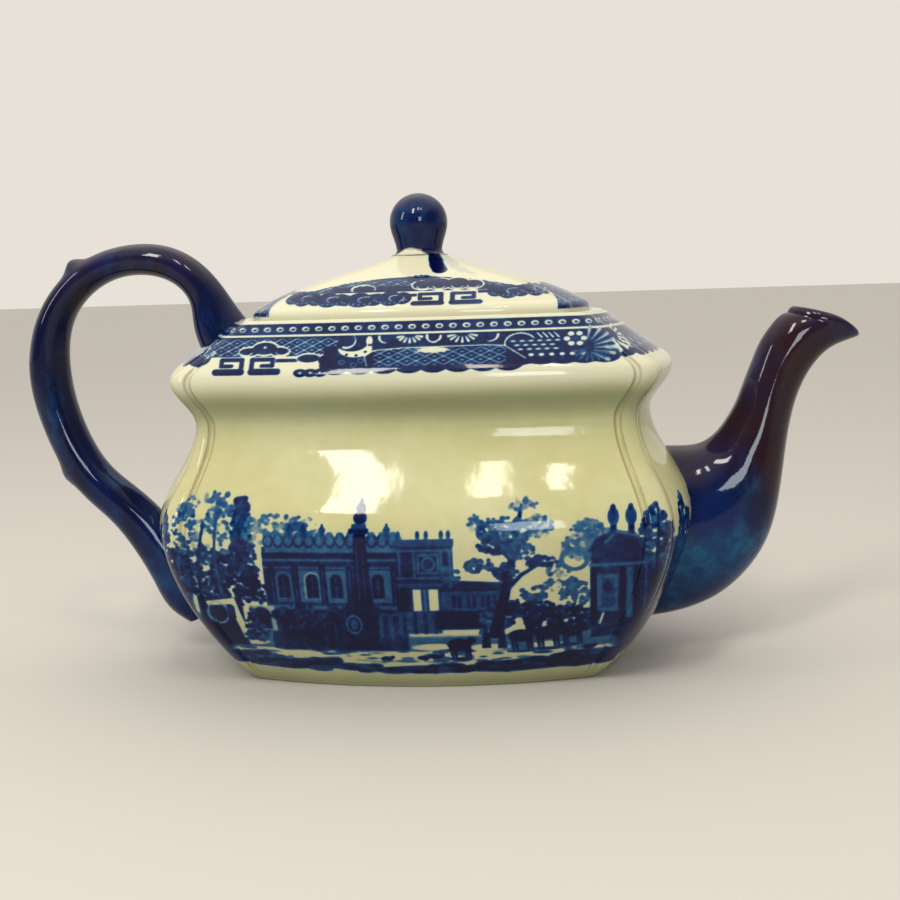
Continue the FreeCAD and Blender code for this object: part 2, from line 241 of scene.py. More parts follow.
def foot_levels():
    """Under the foot, from the middle of the recess to the outer edge of the ring."""
    recess = inset(FOOT, FOOT_RING_WIDTH)
    return [
        inset(recess, 25.0, height=FOOT_RING_HEIGHT),
        inset(recess, SOFT_EDGE, height=FOOT_RING_HEIGHT),
        inset(recess, 0.0, height=FOOT_RING_HEIGHT - SOFT_EDGE),
        inset(recess, 0.0, height=SOFT_EDGE),
        inset(recess, -SOFT_EDGE, height=0.0),
        inset(FOOT, SOFT_EDGE, height=0.0),
        inset(body_level(0.3), 0.15, height=0.3),
    ]


def rim_levels():
    """Over the lip and across the seat to the mouth's lower edge."""
    ceiling = SEAT_HEIGHT - SEAT_THICKNESS
    lip = rounded(RIM, RIM.height - SOFT_EDGE, SOFT_EDGE, 15, 90)
    for turn in np.radians([0, 30, 60, 90]):
        out = SOFT_EDGE * (1.0 - math.sin(turn))
        drop = SOFT_EDGE * (1.0 - math.cos(turn))
        lip.append(inset(SEAT, -out, height=RIM.height - drop))
    return lip + [
        inset(SEAT, 0.0, height=SEAT_HEIGHT + 0.2),
        inset(SEAT, 0.2, height=SEAT_HEIGHT),
        inset(MOUTH, -SOFT_EDGE, height=SEAT_HEIGHT),
        inset(MOUTH, -0.2, height=SEAT_HEIGHT - 0.2),
        inset(MOUTH, 0.0, height=SEAT_HEIGHT - SOFT_EDGE),
        inset(MOUTH, 0.0, height=ceiling + SOFT_EDGE),
        inset(MOUTH, -SOFT_EDGE, height=ceiling),
    ]


def inside_levels():
    """Down the inside of the wall and on to the floor."""
    ceiling = SEAT_HEIGHT - SEAT_THICKNESS
    floor_top = FOOT_RING_HEIGHT + FLOOR_THICKNESS
    heights = np.linspace(ceiling, floor_top + 2.0, 44)
    levels = [inset(body_level(h), BODY_WALL, height=h) for h in heights]
    floor_plan = body_level(floor_top)
    return levels + [
        inset(floor_plan, BODY_WALL + 1.0, height=floor_top + 0.4),
        inset(floor_plan, BODY_WALL + 3.0, height=floor_top),
        inset(floor_plan, 30.0, height=floor_top),
    ]


def body_levels():
    """The body's whole skin, and its first and last outside rows."""
    foot = foot_levels()
    outside = [body_level(height) for height in outside_heights()]
    levels = foot + outside + rim_levels() + inside_levels()
    return levels, len(foot), len(foot) + len(outside)


def edge_level(turn):
    turn = math.radians(turn)
    height = LID_BOTTOM + LID_EDGE_HEIGHT + LID_EDGE_RADIUS * math.sin(turn)
    return inset(LID_EDGE, LID_EDGE_RADIUS * (1.0 - math.cos(turn)), height=height)


def roof_level(share, drop=0.0):
    """Level of the lid's roof at a share of the way from its rounded edge to the knob."""
    neck = KNOB_NECK_DIAMETER / 2.0
    edge = edge_level(LID_EDGE_TURN)
    crown = neck - neck * math.cos(math.pi / 8)
    step = 2 * neck * math.sin(math.pi / 8) * math.sin(math.pi / 4)
    top = Level(edge.height + LID_ROOF_RISE, neck, neck, crown, crown, step, step, crown)
    level = between(edge, top, share, share)
    swell = LID_ROOF_SWELL * math.sin(math.pi * share) * (1.0 - share / LID_ROOF_TURN)
    return level._replace(height=level.height + swell - drop)


def lid_levels():
    """The lid's whole skin, from the middle of its underside out and up to the knob."""
    flange = inset(MOUTH, LID_FLANGE_CLEARANCE)
    bottom = LID_BOTTOM - LID_FLANGE_DEPTH
    inside = inset(flange, LID_FLANGE_WALL)
    hollow = [roof_level(share, LID_WALL) for share in np.linspace(1.0, 0.0, 60)]
    levels = [level for level in hollow if level.half_length < inside.half_length - 0.5]
    top = levels[-1].height - 1.0
    levels += [inset(inside, 0.0, height=h) for h in np.linspace(top, bottom + SOFT_EDGE, 8)]
    levels += [
        inset(inside, -SOFT_EDGE, height=bottom),
        inset(flange, SOFT_EDGE, height=bottom),
        inset(flange, 0.0, height=bottom + SOFT_EDGE),
        inset(flange, 0.0, height=LID_BOTTOM),
        inset(LID_EDGE, SOFT_EDGE, height=LID_BOTTOM),
        inset(LID_EDGE, 0.2, height=LID_BOTTOM + 0.2),
    ]
    first = len(levels)
    upright = np.linspace(LID_BOTTOM + SOFT_EDGE, LID_BOTTOM + LID_EDGE_HEIGHT, 6)
    levels += [inset(LID_EDGE, 0.0, height=h) for h in upright]
    levels += [edge_level(turn) for turn in np.linspace(8.0, LID_EDGE_TURN, 8)]
    levels += [roof_level(share) for share in np.linspace(0.012, 1.0, 96)]
    return levels, first


# --- Skins: grids of points laid over rows of outlines -------------------------------------------
def arch(start, end, crown, shares):
    """Points on a round arch between two corners of every level, and its length."""
    run = end - start
    length = np.hypot(run[:, 0], run[:, 1])
    along = run / length[:, None]
    out = np.stack([along[:, 1], -along[:, 0]], axis=1)
    half_turn = 2.0 * np.arctan(2.0 * crown / length)
    radius = length / (2.0 * np.sin(half_turn))
    turn = half_turn[:, None] * (2.0 * shares - 1.0)
    x = radius[:, None] * np.sin(turn)
    y = radius[:, None] * (np.cos(turn) - np.cos(half_turn)[:, None])
    middle = (start + end) / 2.0
    points = middle[:, None] + along[:, None] * x[..., None] + out[:, None] * y[..., None]
    return points, 2.0 * half_turn * radius


def quarter(levels, counts):
    """From the middle of the front to the middle of the +X end: points, distance and crease gap.

    The distance is X on the front panel and goes on along the surface past its crease.
    """
    sizes = np.array(levels)
    _, half_length, half_depth, front_crown, end_crown, lobe_length, lobe_depth, lobe_crown = sizes.T
    lobe_x = half_length - end_crown
    crease_x = lobe_x - lobe_length
    crease_y = half_depth - front_crown
    lobe_y = crease_y - lobe_depth
    corners = [(-crease_x, -crease_y), (crease_x, -crease_y), (lobe_x, -lobe_y), (lobe_x, lobe_y)]
    corners = [np.stack(corner, axis=1) for corner in corners]
    front, lobe, end = counts
    front_shares = np.linspace(0.5, 1.0, front, endpoint=False)
    lobe_shares = np.linspace(0.0, 1.0, lobe, endpoint=False)
    end_shares = np.linspace(0.0, 0.5, end + 1)
    a, _ = arch(corners[0], corners[1], front_crown, front_shares)
    b, lobe_run = arch(corners[1], corners[2], lobe_crown, lobe_shares)
    c, end_run = arch(corners[2], corners[3], end_crown, end_shares)
    lobe_distance = crease_x[:, None] + lobe_run[:, None] * lobe_shares
    end_distance = (crease_x + lobe_run)[:, None] + end_run[:, None] * end_shares
    plan = np.concatenate([a, b, c], axis=1)
    distance = np.concatenate([a[..., 0], lobe_distance, end_distance], axis=1)
    first_gap = np.abs(distance - crease_x[:, None])
    second_gap = np.abs(distance - (crease_x + lobe_run)[:, None])
    heights = np.repeat(sizes[:, :1], plan.shape[1], axis=1)
    return np.dstack([plan, heights]), distance, np.minimum(first_gap, second_gap)


def all_round(right, mirror, half_turn):
    """A quarter, its mirror image and both of them turned about Z, without the closing column."""
    front = np.concatenate([right[:, :0:-1] * mirror, right], axis=1)
    return np.concatenate([front[:, :-1], front[:, :-1] * half_turn], axis=1)


def level_skin(levels, counts):
    """Points all round over some levels, from the middle of the -X end, with distance and gap."""
    points, distance, gap = quarter(levels, counts)
    points = all_round(points, np.array([-1.0, 1.0, 1.0]), np.array([-1.0, -1.0, 1.0]))
    return points, all_round(distance, -1.0, 1.0), all_round(gap, 1.0, 1.0)


def grid_normals(points):
    """Outward directions on a grid that closes on itself round its rows."""
    round_row = np.roll(points, -1, axis=1) - np.roll(points, 1, axis=1)
    up_column = np.gradient(points, axis=0)
    normal = np.cross(round_row, up_column)
    return normal / np.maximum(np.linalg.norm(normal, axis=2, keepdims=True), 1e-9)


def grid_mesh(name, points, islands=None, closed=True):
    """Mesh object of a grid of points in millimetres, closed round its rows and at both ends.

    islands is a list of (first column, last column, first row, last row, share of the map), or
    None where the whole grid is one.
    """
    rows, columns = points.shape[:2]
    islands = islands or [(0, columns, 0, rows - 1, 1.0)]
    vertices = points.reshape(-1, 3)
    row, column = np.meshgrid(np.arange(rows - 1), np.arange(columns), indexing="ij")
    following = (column + 1) % columns
    quads = np.stack(
        [row * columns + column, row * columns + following,
         (row + 1) * columns + following, (row + 1) * columns + column], axis=-1
    ).reshape(-1, 4)
    faces = [quads.reshape(-1)]
    sizes = [np.full(len(quads), 4)]
    if closed:
        poles = np.stack([points[0].mean(axis=0), points[-1].mean(axis=0)])
        vertices = np.concatenate([vertices, poles])
        here = np.arange(columns)
        there = (here + 1) % columns
        base = rows * columns
        last = (rows - 1) * columns
        faces.append(np.stack([there, here, np.full(columns, base)], axis=1).reshape(-1))
        faces.append(np.stack([last + here, last + there, np.full(columns, base + 1)], axis=1).reshape(-1))
        sizes += [np.full(columns, 3), np.full(columns, 3)]
    loops = np.concatenate(faces)
    sizes = np.concatenate(sizes)
    mesh = bpy.data.meshes.new(name)
    mesh.vertices.add(len(vertices))
    mesh.vertices.foreach_set("co", (vertices * MM).astype(np.float32).reshape(-1))
    mesh.loops.add(len(loops))
    mesh.loops.foreach_set("vertex_index", loops.astype(np.int32))
    mesh.polygons.add(len(sizes))
    starts = np.concatenate([[0], np.cumsum(sizes)[:-1]])
    mesh.polygons.foreach_set("loop_start", starts.astype(np.int32))
    mesh.update(calc_edges=True)
    mesh.shade_smooth()
    bake_map(mesh, rows, columns, islands, closed)
    piece = bpy.data.objects.new(name, mesh)
    bpy.context.scene.collection.objects.link(piece)
    return piece


def bake_map(mesh, rows, columns, islands, closed):
    """Lays the grid out in the OFBake map, one band across the map for each island."""
    corners = np.zeros((rows - 1, columns, 4, 2), dtype=np.float32)
    start = 0.0
    for first_c, last_c, first_r, last_r, share in islands:
        c = np.linspace(BAKE_MARGIN, 1.0 - BAKE_MARGIN, last_c - first_c + 1)
        r = np.linspace(start + BAKE_MARGIN, start + share - BAKE_MARGIN, last_r - first_r + 1)
        start += share
        left, low = np.meshgrid(c[:-1], r[:-1])
        right, high = np.meshgrid(c[1:], r[1:])
        corners[first_r:last_r, first_c:last_c] = np.stack(
            [np.stack([left, low], -1), np.stack([right, low], -1),
             np.stack([right, high], -1), np.stack([left, high], -1)], axis=2
        )
    flat = corners.reshape(-1, 2)
    if closed:
        ends = np.concatenate([corners[0, :, [1, 0, 0]].transpose(1, 0, 2).reshape(-1, 2),
                               corners[-1, :, [3, 2, 2]].transpose(1, 0, 2).reshape(-1, 2)])
        flat = np.concatenate([flat, ends])
    layer = mesh.uv_layers.new(name="OFBake")
    layer.uv.foreach_set("vector", flat.reshape(-1))


def add_attribute(piece, name, values):
    """A number for every vertex. The poles, if any, take the last one."""
    flat = np.asarray(values, dtype=np.float32).reshape(-1)
    missing = len(piece.data.vertices) - len(flat)
    flat = np.concatenate([flat, np.repeat(flat[-1:], missing)])
    attribute = piece.data.attributes.new(name, "FLOAT", "POINT")
    attribute.data.foreach_set("value", flat)


# --- Printing: tones drawn on a flat sheet, 0 for bare glaze and 1 for the darkest blue ----------
def box_gap(x0, x1, y0, y1):
    """Distance outside a box, as a function of x and y."""
    return lambda x, y: np.maximum(np.maximum(x0 - x, x - x1), np.maximum(y0 - y, y - y1))


def oval_gap(x, y, half_width, half_height):
    """Distance outside an oval, as a function of x and y."""
    small = min(half_width, half_height)
    return lambda px, py: (np.hypot((px - x) / half_width, (py - y) / half_height) - 1.0) * small


class Sheet:
    """A grid of tones in millimetres. Shapes are painted one over another."""

    def __init__(self, left, right, bottom, top, step):
        self.left, self.bottom, self.step = left, bottom, step
        across = int(round((right - left) / step)) + 1
        up = int(round((top - bottom) / step)) + 1
        self.tones = np.zeros((up, across))

    def paint(self, box, distance, tone, soft=0.2):
        """Paints where distance(x, y) is below zero, within box = (x0, x1, y0, y1)."""
        x0, x1, y0, y1 = box
        c0, c1 = self.cells(x0 - soft, x1 + soft, self.left, self.tones.shape[1])
        r0, r1 = self.cells(y0 - soft, y1 + soft, self.bottom, self.tones.shape[0])
        if c1 <= c0 or r1 <= r0:
            return
        x = self.left + self.step * np.arange(c0, c1)
        y = self.bottom + self.step * np.arange(r0, r1)[:, None]
        cover = np.clip(0.5 - distance(x, y) / (2.0 * soft), 0.0, 1.0)
        part = self.tones[r0:r1, c0:c1]
        part += (tone - part) * cover

    def cells(self, low, high, start, count):
        first = int(math.floor((low - start) / self.step))
        last = int(math.ceil((high - start) / self.step)) + 1
        return max(first, 0), min(last, count)

    def slab(self, x0, x1, y0, y1, tone, soft=0.2):
        self.paint((x0, x1, y0, y1), box_gap(x0, x1, y0, y1), tone, soft)

    def oval(self, x, y, half_width, half_height, tone, soft=0.2):
        box = (x - half_width, x + half_width, y - half_height, y + half_height)
        self.paint(box, oval_gap(x, y, half_width, half_height), tone, soft)

    def ring(self, x, y, half_width, half_height, line, tone, soft=0.15):
        gap = oval_gap(x, y, half_width, half_height)
        wide, high = half_width + line, half_height + line
        box = (x - wide, x + wide, y - high, y + high)
        self.paint(box, lambda px, py: np.abs(gap(px, py)) - line / 2.0, tone, soft)

    def stroke(self, points, width, tone, soft=0.2, end_width=None):
        """A pen line through points that may taper from width to end_width."""
        end_width = width if end_width is None else end_width
        spans = len(points) - 1
        for index, (start, end) in enumerate(zip(points, points[1:])):
            w0 = width + (end_width - width) * index / spans
            w1 = width + (end_width - width) * (index + 1) / spans
            self.line(start, end, w0 / 2.0, w1 / 2.0, tone, soft)

    def line(self, start, end, r0, r1, tone, soft):
        dx, dy = end[0] - start[0], end[1] - start[1]
        square = max(dx * dx + dy * dy, 1e-9)

        def distance(x, y):
            share = np.clip(((x - start[0]) * dx + (y - start[1]) * dy) / square, 0.0, 1.0)
            gap = np.hypot(x - start[0] - share * dx, y - start[1] - share * dy)
            return gap - (r0 + (r1 - r0) * share)
        reach = max(r0, r1)
        xs, ys = sorted((start[0], end[0])), sorted((start[1], end[1]))
        self.paint((xs[0] - reach, xs[1] + reach, ys[0] - reach, ys[1] + reach), distance, tone, soft)

    def opening(self, x, base, width, height, tone, soft=0.2):
        """A round-headed arch standing on base."""
        half = width / 2.0
        spring = base + height - half

        def distance(px, py):
            straight = np.maximum(np.abs(px - x) - half, np.maximum(base - py, py - spring))
            return np.minimum(straight, np.hypot(px - x, py - spring) - half)
        self.paint((x - half, x + half, base, base + height), distance, tone, soft)

    def outline(self, corners, tone, soft=0.2):
        """A filled shape with straight sides."""
        xs, ys = [c[0] for c in corners], [c[1] for c in corners]

        def distance(x, y):
            gap = np.full(np.broadcast(x, y).shape, 1e9)
            inside = np.zeros(gap.shape, dtype=bool)
            for (ax, ay), (bx, by) in zip(corners, corners[1:] + corners[:1]):
                dx, dy = bx - ax, by - ay
                share = np.clip(((x - ax) * dx + (y - ay) * dy) / (dx * dx + dy * dy), 0.0, 1.0)
                gap = np.minimum(gap, np.hypot(x - ax - share * dx, y - ay - share * dy))
                crosses = (ay > y) != (by > y)
                slope = dx / dy if dy else 0.0
                inside ^= crosses & (x < ax + (y - ay) * slope)
            return np.where(inside, -gap, gap)
        self.paint((min(xs), max(xs), min(ys), max(ys)), distance, tone, soft)

    def foliage(self, x, y, half_width, half_height, leaves, tone, seed, size=0.9, spread=0.25):
        """A cloud of leaf dabs that thins out towards its edge."""
        draw = np.random.default_rng(seed)
        for _ in range(leaves):
            angle = draw.uniform(0.0, 2.0 * math.pi)
            reach = math.sqrt(draw.uniform(0.0, 1.0)) ** 0.8
            across = x + half_width * reach * math.cos(angle)
            up = y + half_height * reach * math.sin(angle)
            radius = size * draw.uniform(0.55, 1.25) * (1.15 - 0.4 * reach)
            shade = tone + spread * draw.uniform(-1.0, 0.35)
            self.oval(across, up, radius, radius * draw.uniform(0.6, 1.0), shade)

    def soften(self, rounds):
        """Lets the blue flow a little into the glaze."""
        for _ in range(rounds):
            t = np.pad(self.tones, 1, mode="edge")
            cross = t[:-2, 1:-1] + t[2:, 1:-1] + t[1:-1, :-2] + t[1:-1, 2:]
            self.tones = 0.5 * self.tones + 0.125 * cross

    def sample(self, x, y):
        """Tones at points, blended between the sheet's cells. Outside the sheet is bare."""
        c = (x - self.left) / self.step
        r = (y - self.bottom) / self.step
        rows, columns = self.tones.shape
        inside = (c >= 0) & (r >= 0) & (c <= columns - 1) & (r <= rows - 1)
        c = np.clip(c, 0, columns - 1.001)
        r = np.clip(r, 0, rows - 1.001)
        c0, r0 = c.astype(int), r.astype(int)
        fc, fr = c - c0, r - r0
        low = self.tones[r0, c0] * (1 - fc) + self.tones[r0, c0 + 1] * fc
        high = self.tones[r0 + 1, c0] * (1 - fc) + self.tones[r0 + 1, c0 + 1] * fc
        return np.where(inside, low * (1 - fr) + high * fr, 0.0)


def bushes(sheet, first_seed, clumps, size=0.9, spread=0.25):
    """Clumps of leaves (x, y, half width, half height, leaves, tone), each from a seed of its own."""
    for seed, clump in enumerate(clumps, first_seed):
        sheet.foliage(*clump, seed, size, spread)


def ground(sheet):
    """Foreground banks, the sandy path behind them and the far lawn."""
    sheet.slab(-62, 66, 12.6, 18.5, TEAL, 0.8)
    sheet.slab(-112, -56, 9.0, 24.0, NAVY, 1.4)
    sheet.slab(58, 112, 7.0, 24.0, NAVY, 1.4)
    for x, y, long in [(-44, 12.4, 12), (-24, 11.8, 9), (-6, 12.0, 12), (12, 12.2, 10), (30, 11.6, 8),
                       (46, 12.0, 9), (6, 14.6, 7), (21, 14.2, 6), (-49, 15.6, 5), (38, 14.4, 5)]:
        sheet.oval(x, y, long, 1.1, BARE, 0.35)
    banks = [(-49, -24, 8.6, 3.4, NAVY), (-26, 2, 6.7, 1.2, DARK), (-6, 16, 6.2, 1.6, DARK),
             (12, 40, 6.4, 2.4, DARK), (30, 62, 7.6, 4.2, DARK), (44, 70, 10.0, 4.0, NAVY),
             (-66, -46, 10.4, 3.0, NAVY), (-18, -2, 9.6, 0.7, TEAL), (2, 14, 9.2, 0.8, TEAL)]
    for x0, x1, y, wide, tone in banks:
        middle = (x0 + x1) / 2
        sheet.stroke([(x0, y + 0.5), (middle, y - 0.3), (x1, y + 0.6)], wide * 0.7, tone, 0.5, wide)
    draw = np.random.default_rng(11)
    for _ in range(130):
        x = draw.uniform(-60, 66)
        y = draw.uniform(5.4, 8.0) + 0.0007 * x * x + 0.02 * max(x, 0.0)
        long = draw.uniform(1.2, 4.5)
        sheet.oval(x, y, long, draw.uniform(0.35, 0.9), draw.choice([DARK, DARK, NAVY, BLUE]), 0.3)
    for _ in range(70):
        x = draw.uniform(-52, 58)
        y = draw.uniform(9.4, 13.6)
        sheet.oval(x, y, draw.uniform(0.8, 3.0), 0.3, draw.choice([NAVY, BLUE, TEAL]), 0.25)


def side_trees(sheet):
    """The dappled trees at the left, with a dark poplar in front."""
    bushes(sheet, 21, [(-61, 56, 6, 5, 60, TEAL), (-66, 50, 4, 9, 60, BLUE), (-55, 57, 4, 5, 45, BLUE),
                       (-57, 47, 8, 6, 90, TEAL), (-60, 38, 8, 8, 190, NAVY), (-52, 36, 7, 8, 150, DARK)])
    sheet.stroke([(-63, 30), (-62, 42), (-60, 53)], 1.3, NAVY, 0.2, 0.5)
    sheet.stroke([(-56, 30), (-57, 43), (-56, 55)], 1.3, BLUE, 0.2, 0.5)
    for y in np.arange(38.0, 60.0, 1.5):
        wide = 4.6 - 3.0 * (y - 38.0) / 24.0
        sheet.foliage(-48.4, y, wide, 1.6, 16, NAVY, int(y * 10), 1.0, 0.2)
    bushes(sheet, 31, [(-38, 53, 6, 3.4, 46, TEAL), (-44, 51, 4, 4, 46, TEAL), (-30, 52, 5, 3.2, 46, TEAL)],
           0.9, 0.2)


def garden_gate(sheet):
    """Pale piers with dark round-headed openings."""
    sheet.slab(-64, -50.5, 14, 30.5, DARK, 0.5)
    sheet.outline([(-62, 29), (-52.5, 30.5), (-49.5, 17), (-51.5, 16.5), (-54.5, 28), (-62, 27.4)], BARE, 0.3)
    sheet.opening(-58.6, 17, 4.6, 10.5, DARK)
    sheet.ring(-58.4, 25.2, 3.3, 3.6, 0.8, PALE)
    sheet.opening(-54.2, 23.5, 2.4, 4.6, NAVY)
    sheet.slab(-48.5, -40.5, 19.5, 28.3, PALE, 0.3)
    sheet.opening(-44.8, 20.4, 5.0, 7.2, DARK)
    sheet.foliage(-47.5, 22.5, 2.2, 4.4, 30, NAVY, 35)
    sheet.foliage(-46, 33, 4, 4.5, 60, DARK, 36)


def villa(sheet):
    """Long arcaded house with a scalloped parapet, seen above a dark terrace."""
    sheet.slab(-42.5, -2, 13.5, 46.5, NAVY, 0.3)
    sheet.slab(-41.5, -2, 44.6, 49.4, TEAL, 0.35)
    for x in np.arange(-40.5, -2.5, 3.0):
        sheet.ring(x, 48.3, 1.3, 1.7, 0.5, NAVY)
        sheet.oval(x, 50.2, 1.1, 0.75, TEAL, 0.3)
    for x in (-34.0, -30.0, -24.6, -6.2):
        sheet.stroke([(x, 49.4), (x, 52.8)], 1.6, BLUE, 0.2, 0.7)
        sheet.oval(x, 51.4, 1.0, 0.8, BLUE)
    for y, tone, width in [(44.2, DARK, 1.3), (42.7, TEAL, 0.7), (41.6, NAVY, 0.9), (40.4, TEAL, 0.6)]:
        sheet.slab(-42.5, -2, y - width / 2, y + width / 2, tone)
    sheet.slab(-40.5, -4.6, 29.5, 39.6, BLUE, 0.25)
    for x0, x1 in [(-33.0, -26.0), (-24.2, -18.6), (-13.4, -5.6)]:
        sheet.slab(x0, x1, 29.5, 39.6, TEAL, 0.25)
    for x in (-36.8, -28.4, -21.4, -9.4):
        sheet.opening(x, 30.6, 5.0, 8.6, PALE if x == -28.4 else TEAL, 0.3)
        sheet.opening(x, 31.0, 3.4, 7.4, DARK)
        sheet.slab(x - 0.18, x + 0.18, 31.4, 37.6, BLUE, 0.15)
        sheet.slab(x - 1.2, x + 1.2, 34.0, 34.3, BLUE, 0.15)
    for x in (-40.2, -33.2, -25.2, -17.4, -4.6):
        sheet.slab(x - 0.9, x + 0.9, 28.0, 41.0, DARK)
        sheet.slab(x - 0.25, x + 0.15, 29.0, 40.0, BLUE, 0.15)
    sheet.slab(-42.5, -2, 27.3, 28.6, TEAL, 0.3)
    for x in (-38.0, -31.4, -24.6, -8.4, -5.0):
        sheet.opening(x, 17.0, 3.6, 9.6, BLUE, 0.3)
        sheet.opening(x, 17.0, 2.5, 8.4, DARK, 0.2)
    sheet.slab(-12.5, -3.0, 18.0, 26.0, BLUE, 0.8)
    for x in (-10.8, -8.2, -5.2):
        sheet.opening(x, 17.0, 1.5, 8.4, NAVY)


def column(sheet):
    """Tall column with a covered urn, on a pedestal with an oval panel."""
    sheet.outline([(-16.8, 28), (-11.2, 28), (-12.4, 50.5), (-15.6, 50.5)], DARK, 0.25)
    sheet.slab(-15.2, -14.8, 30, 49, BLUE, 0.15)
    sheet.slab(-13.4, -13.1, 30, 49, BLUE, 0.15)
    sheet.slab(-17.0, -11.4, 50.4, 51.8, NAVY)
    sheet.slab(-16.2, -12.0, 51.8, 53.0, BLUE)
    sheet.oval(-13.7, 54.6, 1.9, 1.7, NAVY)
    sheet.oval(-13.4, 57.2, 1.4, 1.5, BLUE)
    sheet.stroke([(-13.4, 58.0), (-13.2, 59.6)], 1.2, NAVY, 0.2, 0.5)
    sheet.slab(-19.4, -10.6, 14.2, 28.4, DARK, 0.3)
    sheet.slab(-20.6, -9.4, 26.6, 28.2, NAVY)
    sheet.slab(-20.6, -9.4, 13.6, 15.6, DARK)
    sheet.ring(-17.4, 22.4, 2.1, 2.9, 0.5, TEAL)
    sheet.oval(-17.4, 22.4, 1.2, 1.9, BLUE)


def pavilion(sheet):
    """Square belvedere with an oval window over a pale porch."""
    sheet.slab(-4, 12, 26, 48.3, NAVY, 0.25)
    sheet.slab(-4.6, 12.4, 46.6, 48.6, BLUE, 0.25)
    for x in (-3.0, 2.4, 4.8, 9.0, 11.0):
        sheet.oval(x, 49.8, 0.6, 1.2, BLUE)
    for y in (45.4, 37.2):
        sheet.slab(-4, 12, y - 0.3, y + 0.3, TEAL, 0.2)
    for x in (-3.0, 1.2, 8.8, 11.2):
        sheet.slab(x - 0.3, x + 0.3, 37.6, 45.2, TEAL, 0.2)
    sheet.slab(2.0, 8.2, 38.4, 44.4, TEAL, 0.25)
    sheet.slab(2.6, 7.6, 39.0, 43.8, NAVY, 0.2)
    sheet.ring(5.1, 41.4, 1.7, 1.9, 0.5, TEAL)
    sheet.slab(-4, 12, 34.4, 35.6, BLUE, 0.2)
    for x0, x1 in [(0.2, 2.7), (4.7, 7.6)]:
        sheet.slab(x0, x1, 26.8, 33.8, BARE, 0.3)
    sheet.slab(3.2, 4.2, 26.8, 33.8, TEAL, 0.2)
    sheet.slab(-4.4, -1.2, 26.8, 33.8, DARK)
    sheet.slab(-4, 8, 19.4, 26.4, BLUE, 0.4)
    for x in (-2.6, 0.4, 3.4, 6.2):
        sheet.slab(x - 0.5, x + 0.5, 19.4, 26.2, NAVY, 0.3)


def annex(sheet):
    """Low wing with a row of windows over a dark wall."""
    sheet.outline([(7.8, 33.0), (9.4, 36.4), (25.4, 35.4), (26.6, 33.0)], NAVY, 0.25)
    sheet.slab(8.2, 26, 26.8, 33.4, BLUE, 0.25)
    sheet.slab(8.2, 26, 33.0, 33.5, DARK)
    for x in (12.6, 16.8, 20.8, 24.2):
        sheet.slab(x - 1.3, x + 1.3, 27.6, 31.6, NAVY, 0.2)
        sheet.slab(x - 0.15, x + 0.15, 27.6, 31.6, TEAL, 0.15)
    sheet.slab(6.6, 26, 20.6, 26.8, DARK, 0.3)
    sheet.foliage(11.2, 37.6, 2.6, 3.0, 30, BLUE, 41)


def middle_tree(sheet):
    """Open tree right of the middle, its crown in flat clouds of leaves."""
    sheet.stroke([(23, 19), (25.5, 28), (27, 35), (28.5, 42), (30, 50), (31.5, 57)], 3.6, DARK, 0.25, 0.8)
    for branch in [[(26, 32), (31, 37.5), (36, 40.5), (40, 41)], [(27, 36), (22, 40), (17, 41.5)],
                   [(28.5, 42), (24, 47), (20, 52)], [(29, 44), (33, 49), (37, 52)]]:
        sheet.stroke(branch, 1.3, NAVY, 0.2, 0.5)
    bushes(sheet, 51, [(32, 57.3, 4.2, 2.0, 26, TEAL), (18.6, 52.4, 2.2, 2.6, 26, TEAL),
                       (27, 50.5, 8.0, 4.2, 150, BLUE), (36.5, 51.5, 3.8, 3.2, 60, TEAL),
                       (24, 46.4, 5.0, 2.4, 70, NAVY), (19.5, 40.5, 4.2, 2.2, 44, BLUE),
                       (31, 44.6, 4.0, 2.6, 50, BLUE), (37, 41.3, 4.4, 1.8, 44, NAVY),
                       (27, 38.5, 3.6, 2.8, 50, NAVY), (42, 36.0, 4.6, 4.4, 56, TEAL),
                       (46, 31.5, 4.6, 4.6, 70, BLUE), (34.5, 31.8, 4.0, 2.6, 44, BLUE)], 0.85)


def monument(sheet):
    """Pedimented garden tomb with two urns at the right, with bushes behind."""
    bushes(sheet, 71, [(50, 50.5, 5, 2.6, 50, TEAL), (46.5, 45, 4.4, 4.0, 70, TEAL),
                       (52, 46, 6, 5, 110, TEAL)], 1.0, 0.2)
    sheet.ring(46.0, 41.6, 3.6, 3.0, 1.3, TEAL, 0.3)
    sheet.slab(50.6, 66, 16, 44.5, NAVY, 0.3)
    sheet.outline([(49.6, 43.6), (52.0, 47.4), (57, 49.6), (63, 48.6), (67, 44)], NAVY, 0.3)
    sheet.stroke([(54.8, 46.2), (58.0, 49.2), (64.0, 47.6)], 0.7, TEAL)
    for x in (57.0, 62.0):
        sheet.stroke([(x, 49.0), (x, 51.5)], 1.6, NAVY)
        sheet.oval(x, 53.2, 1.6, 2.4, BLUE)
        sheet.oval(x, 55.6, 0.7, 0.9, NAVY)
    sheet.slab(52.2, 58.4, 24.6, 36.6, TEAL, 0.3)
    sheet.slab(53.4, 57.2, 26.0, 35.4, BLUE, 0.25)
    sheet.oval(55.2, 32.8, 1.3, 1.7, NAVY)
    for x in (51.3, 59.6, 63.4):
        sheet.slab(x - 0.8, x + 0.8, 20, 39, DARK, 0.25)
    sheet.slab(60.6, 62.6, 22, 38.5, TEAL, 0.25)
    sheet.outline([(52.6, 20.4), (53.8, 24.4), (54.6, 24.2), (53.4, 20.4)], BARE)
    sheet.slab(50, 66, 39.0, 40.0, TEAL, 0.3)


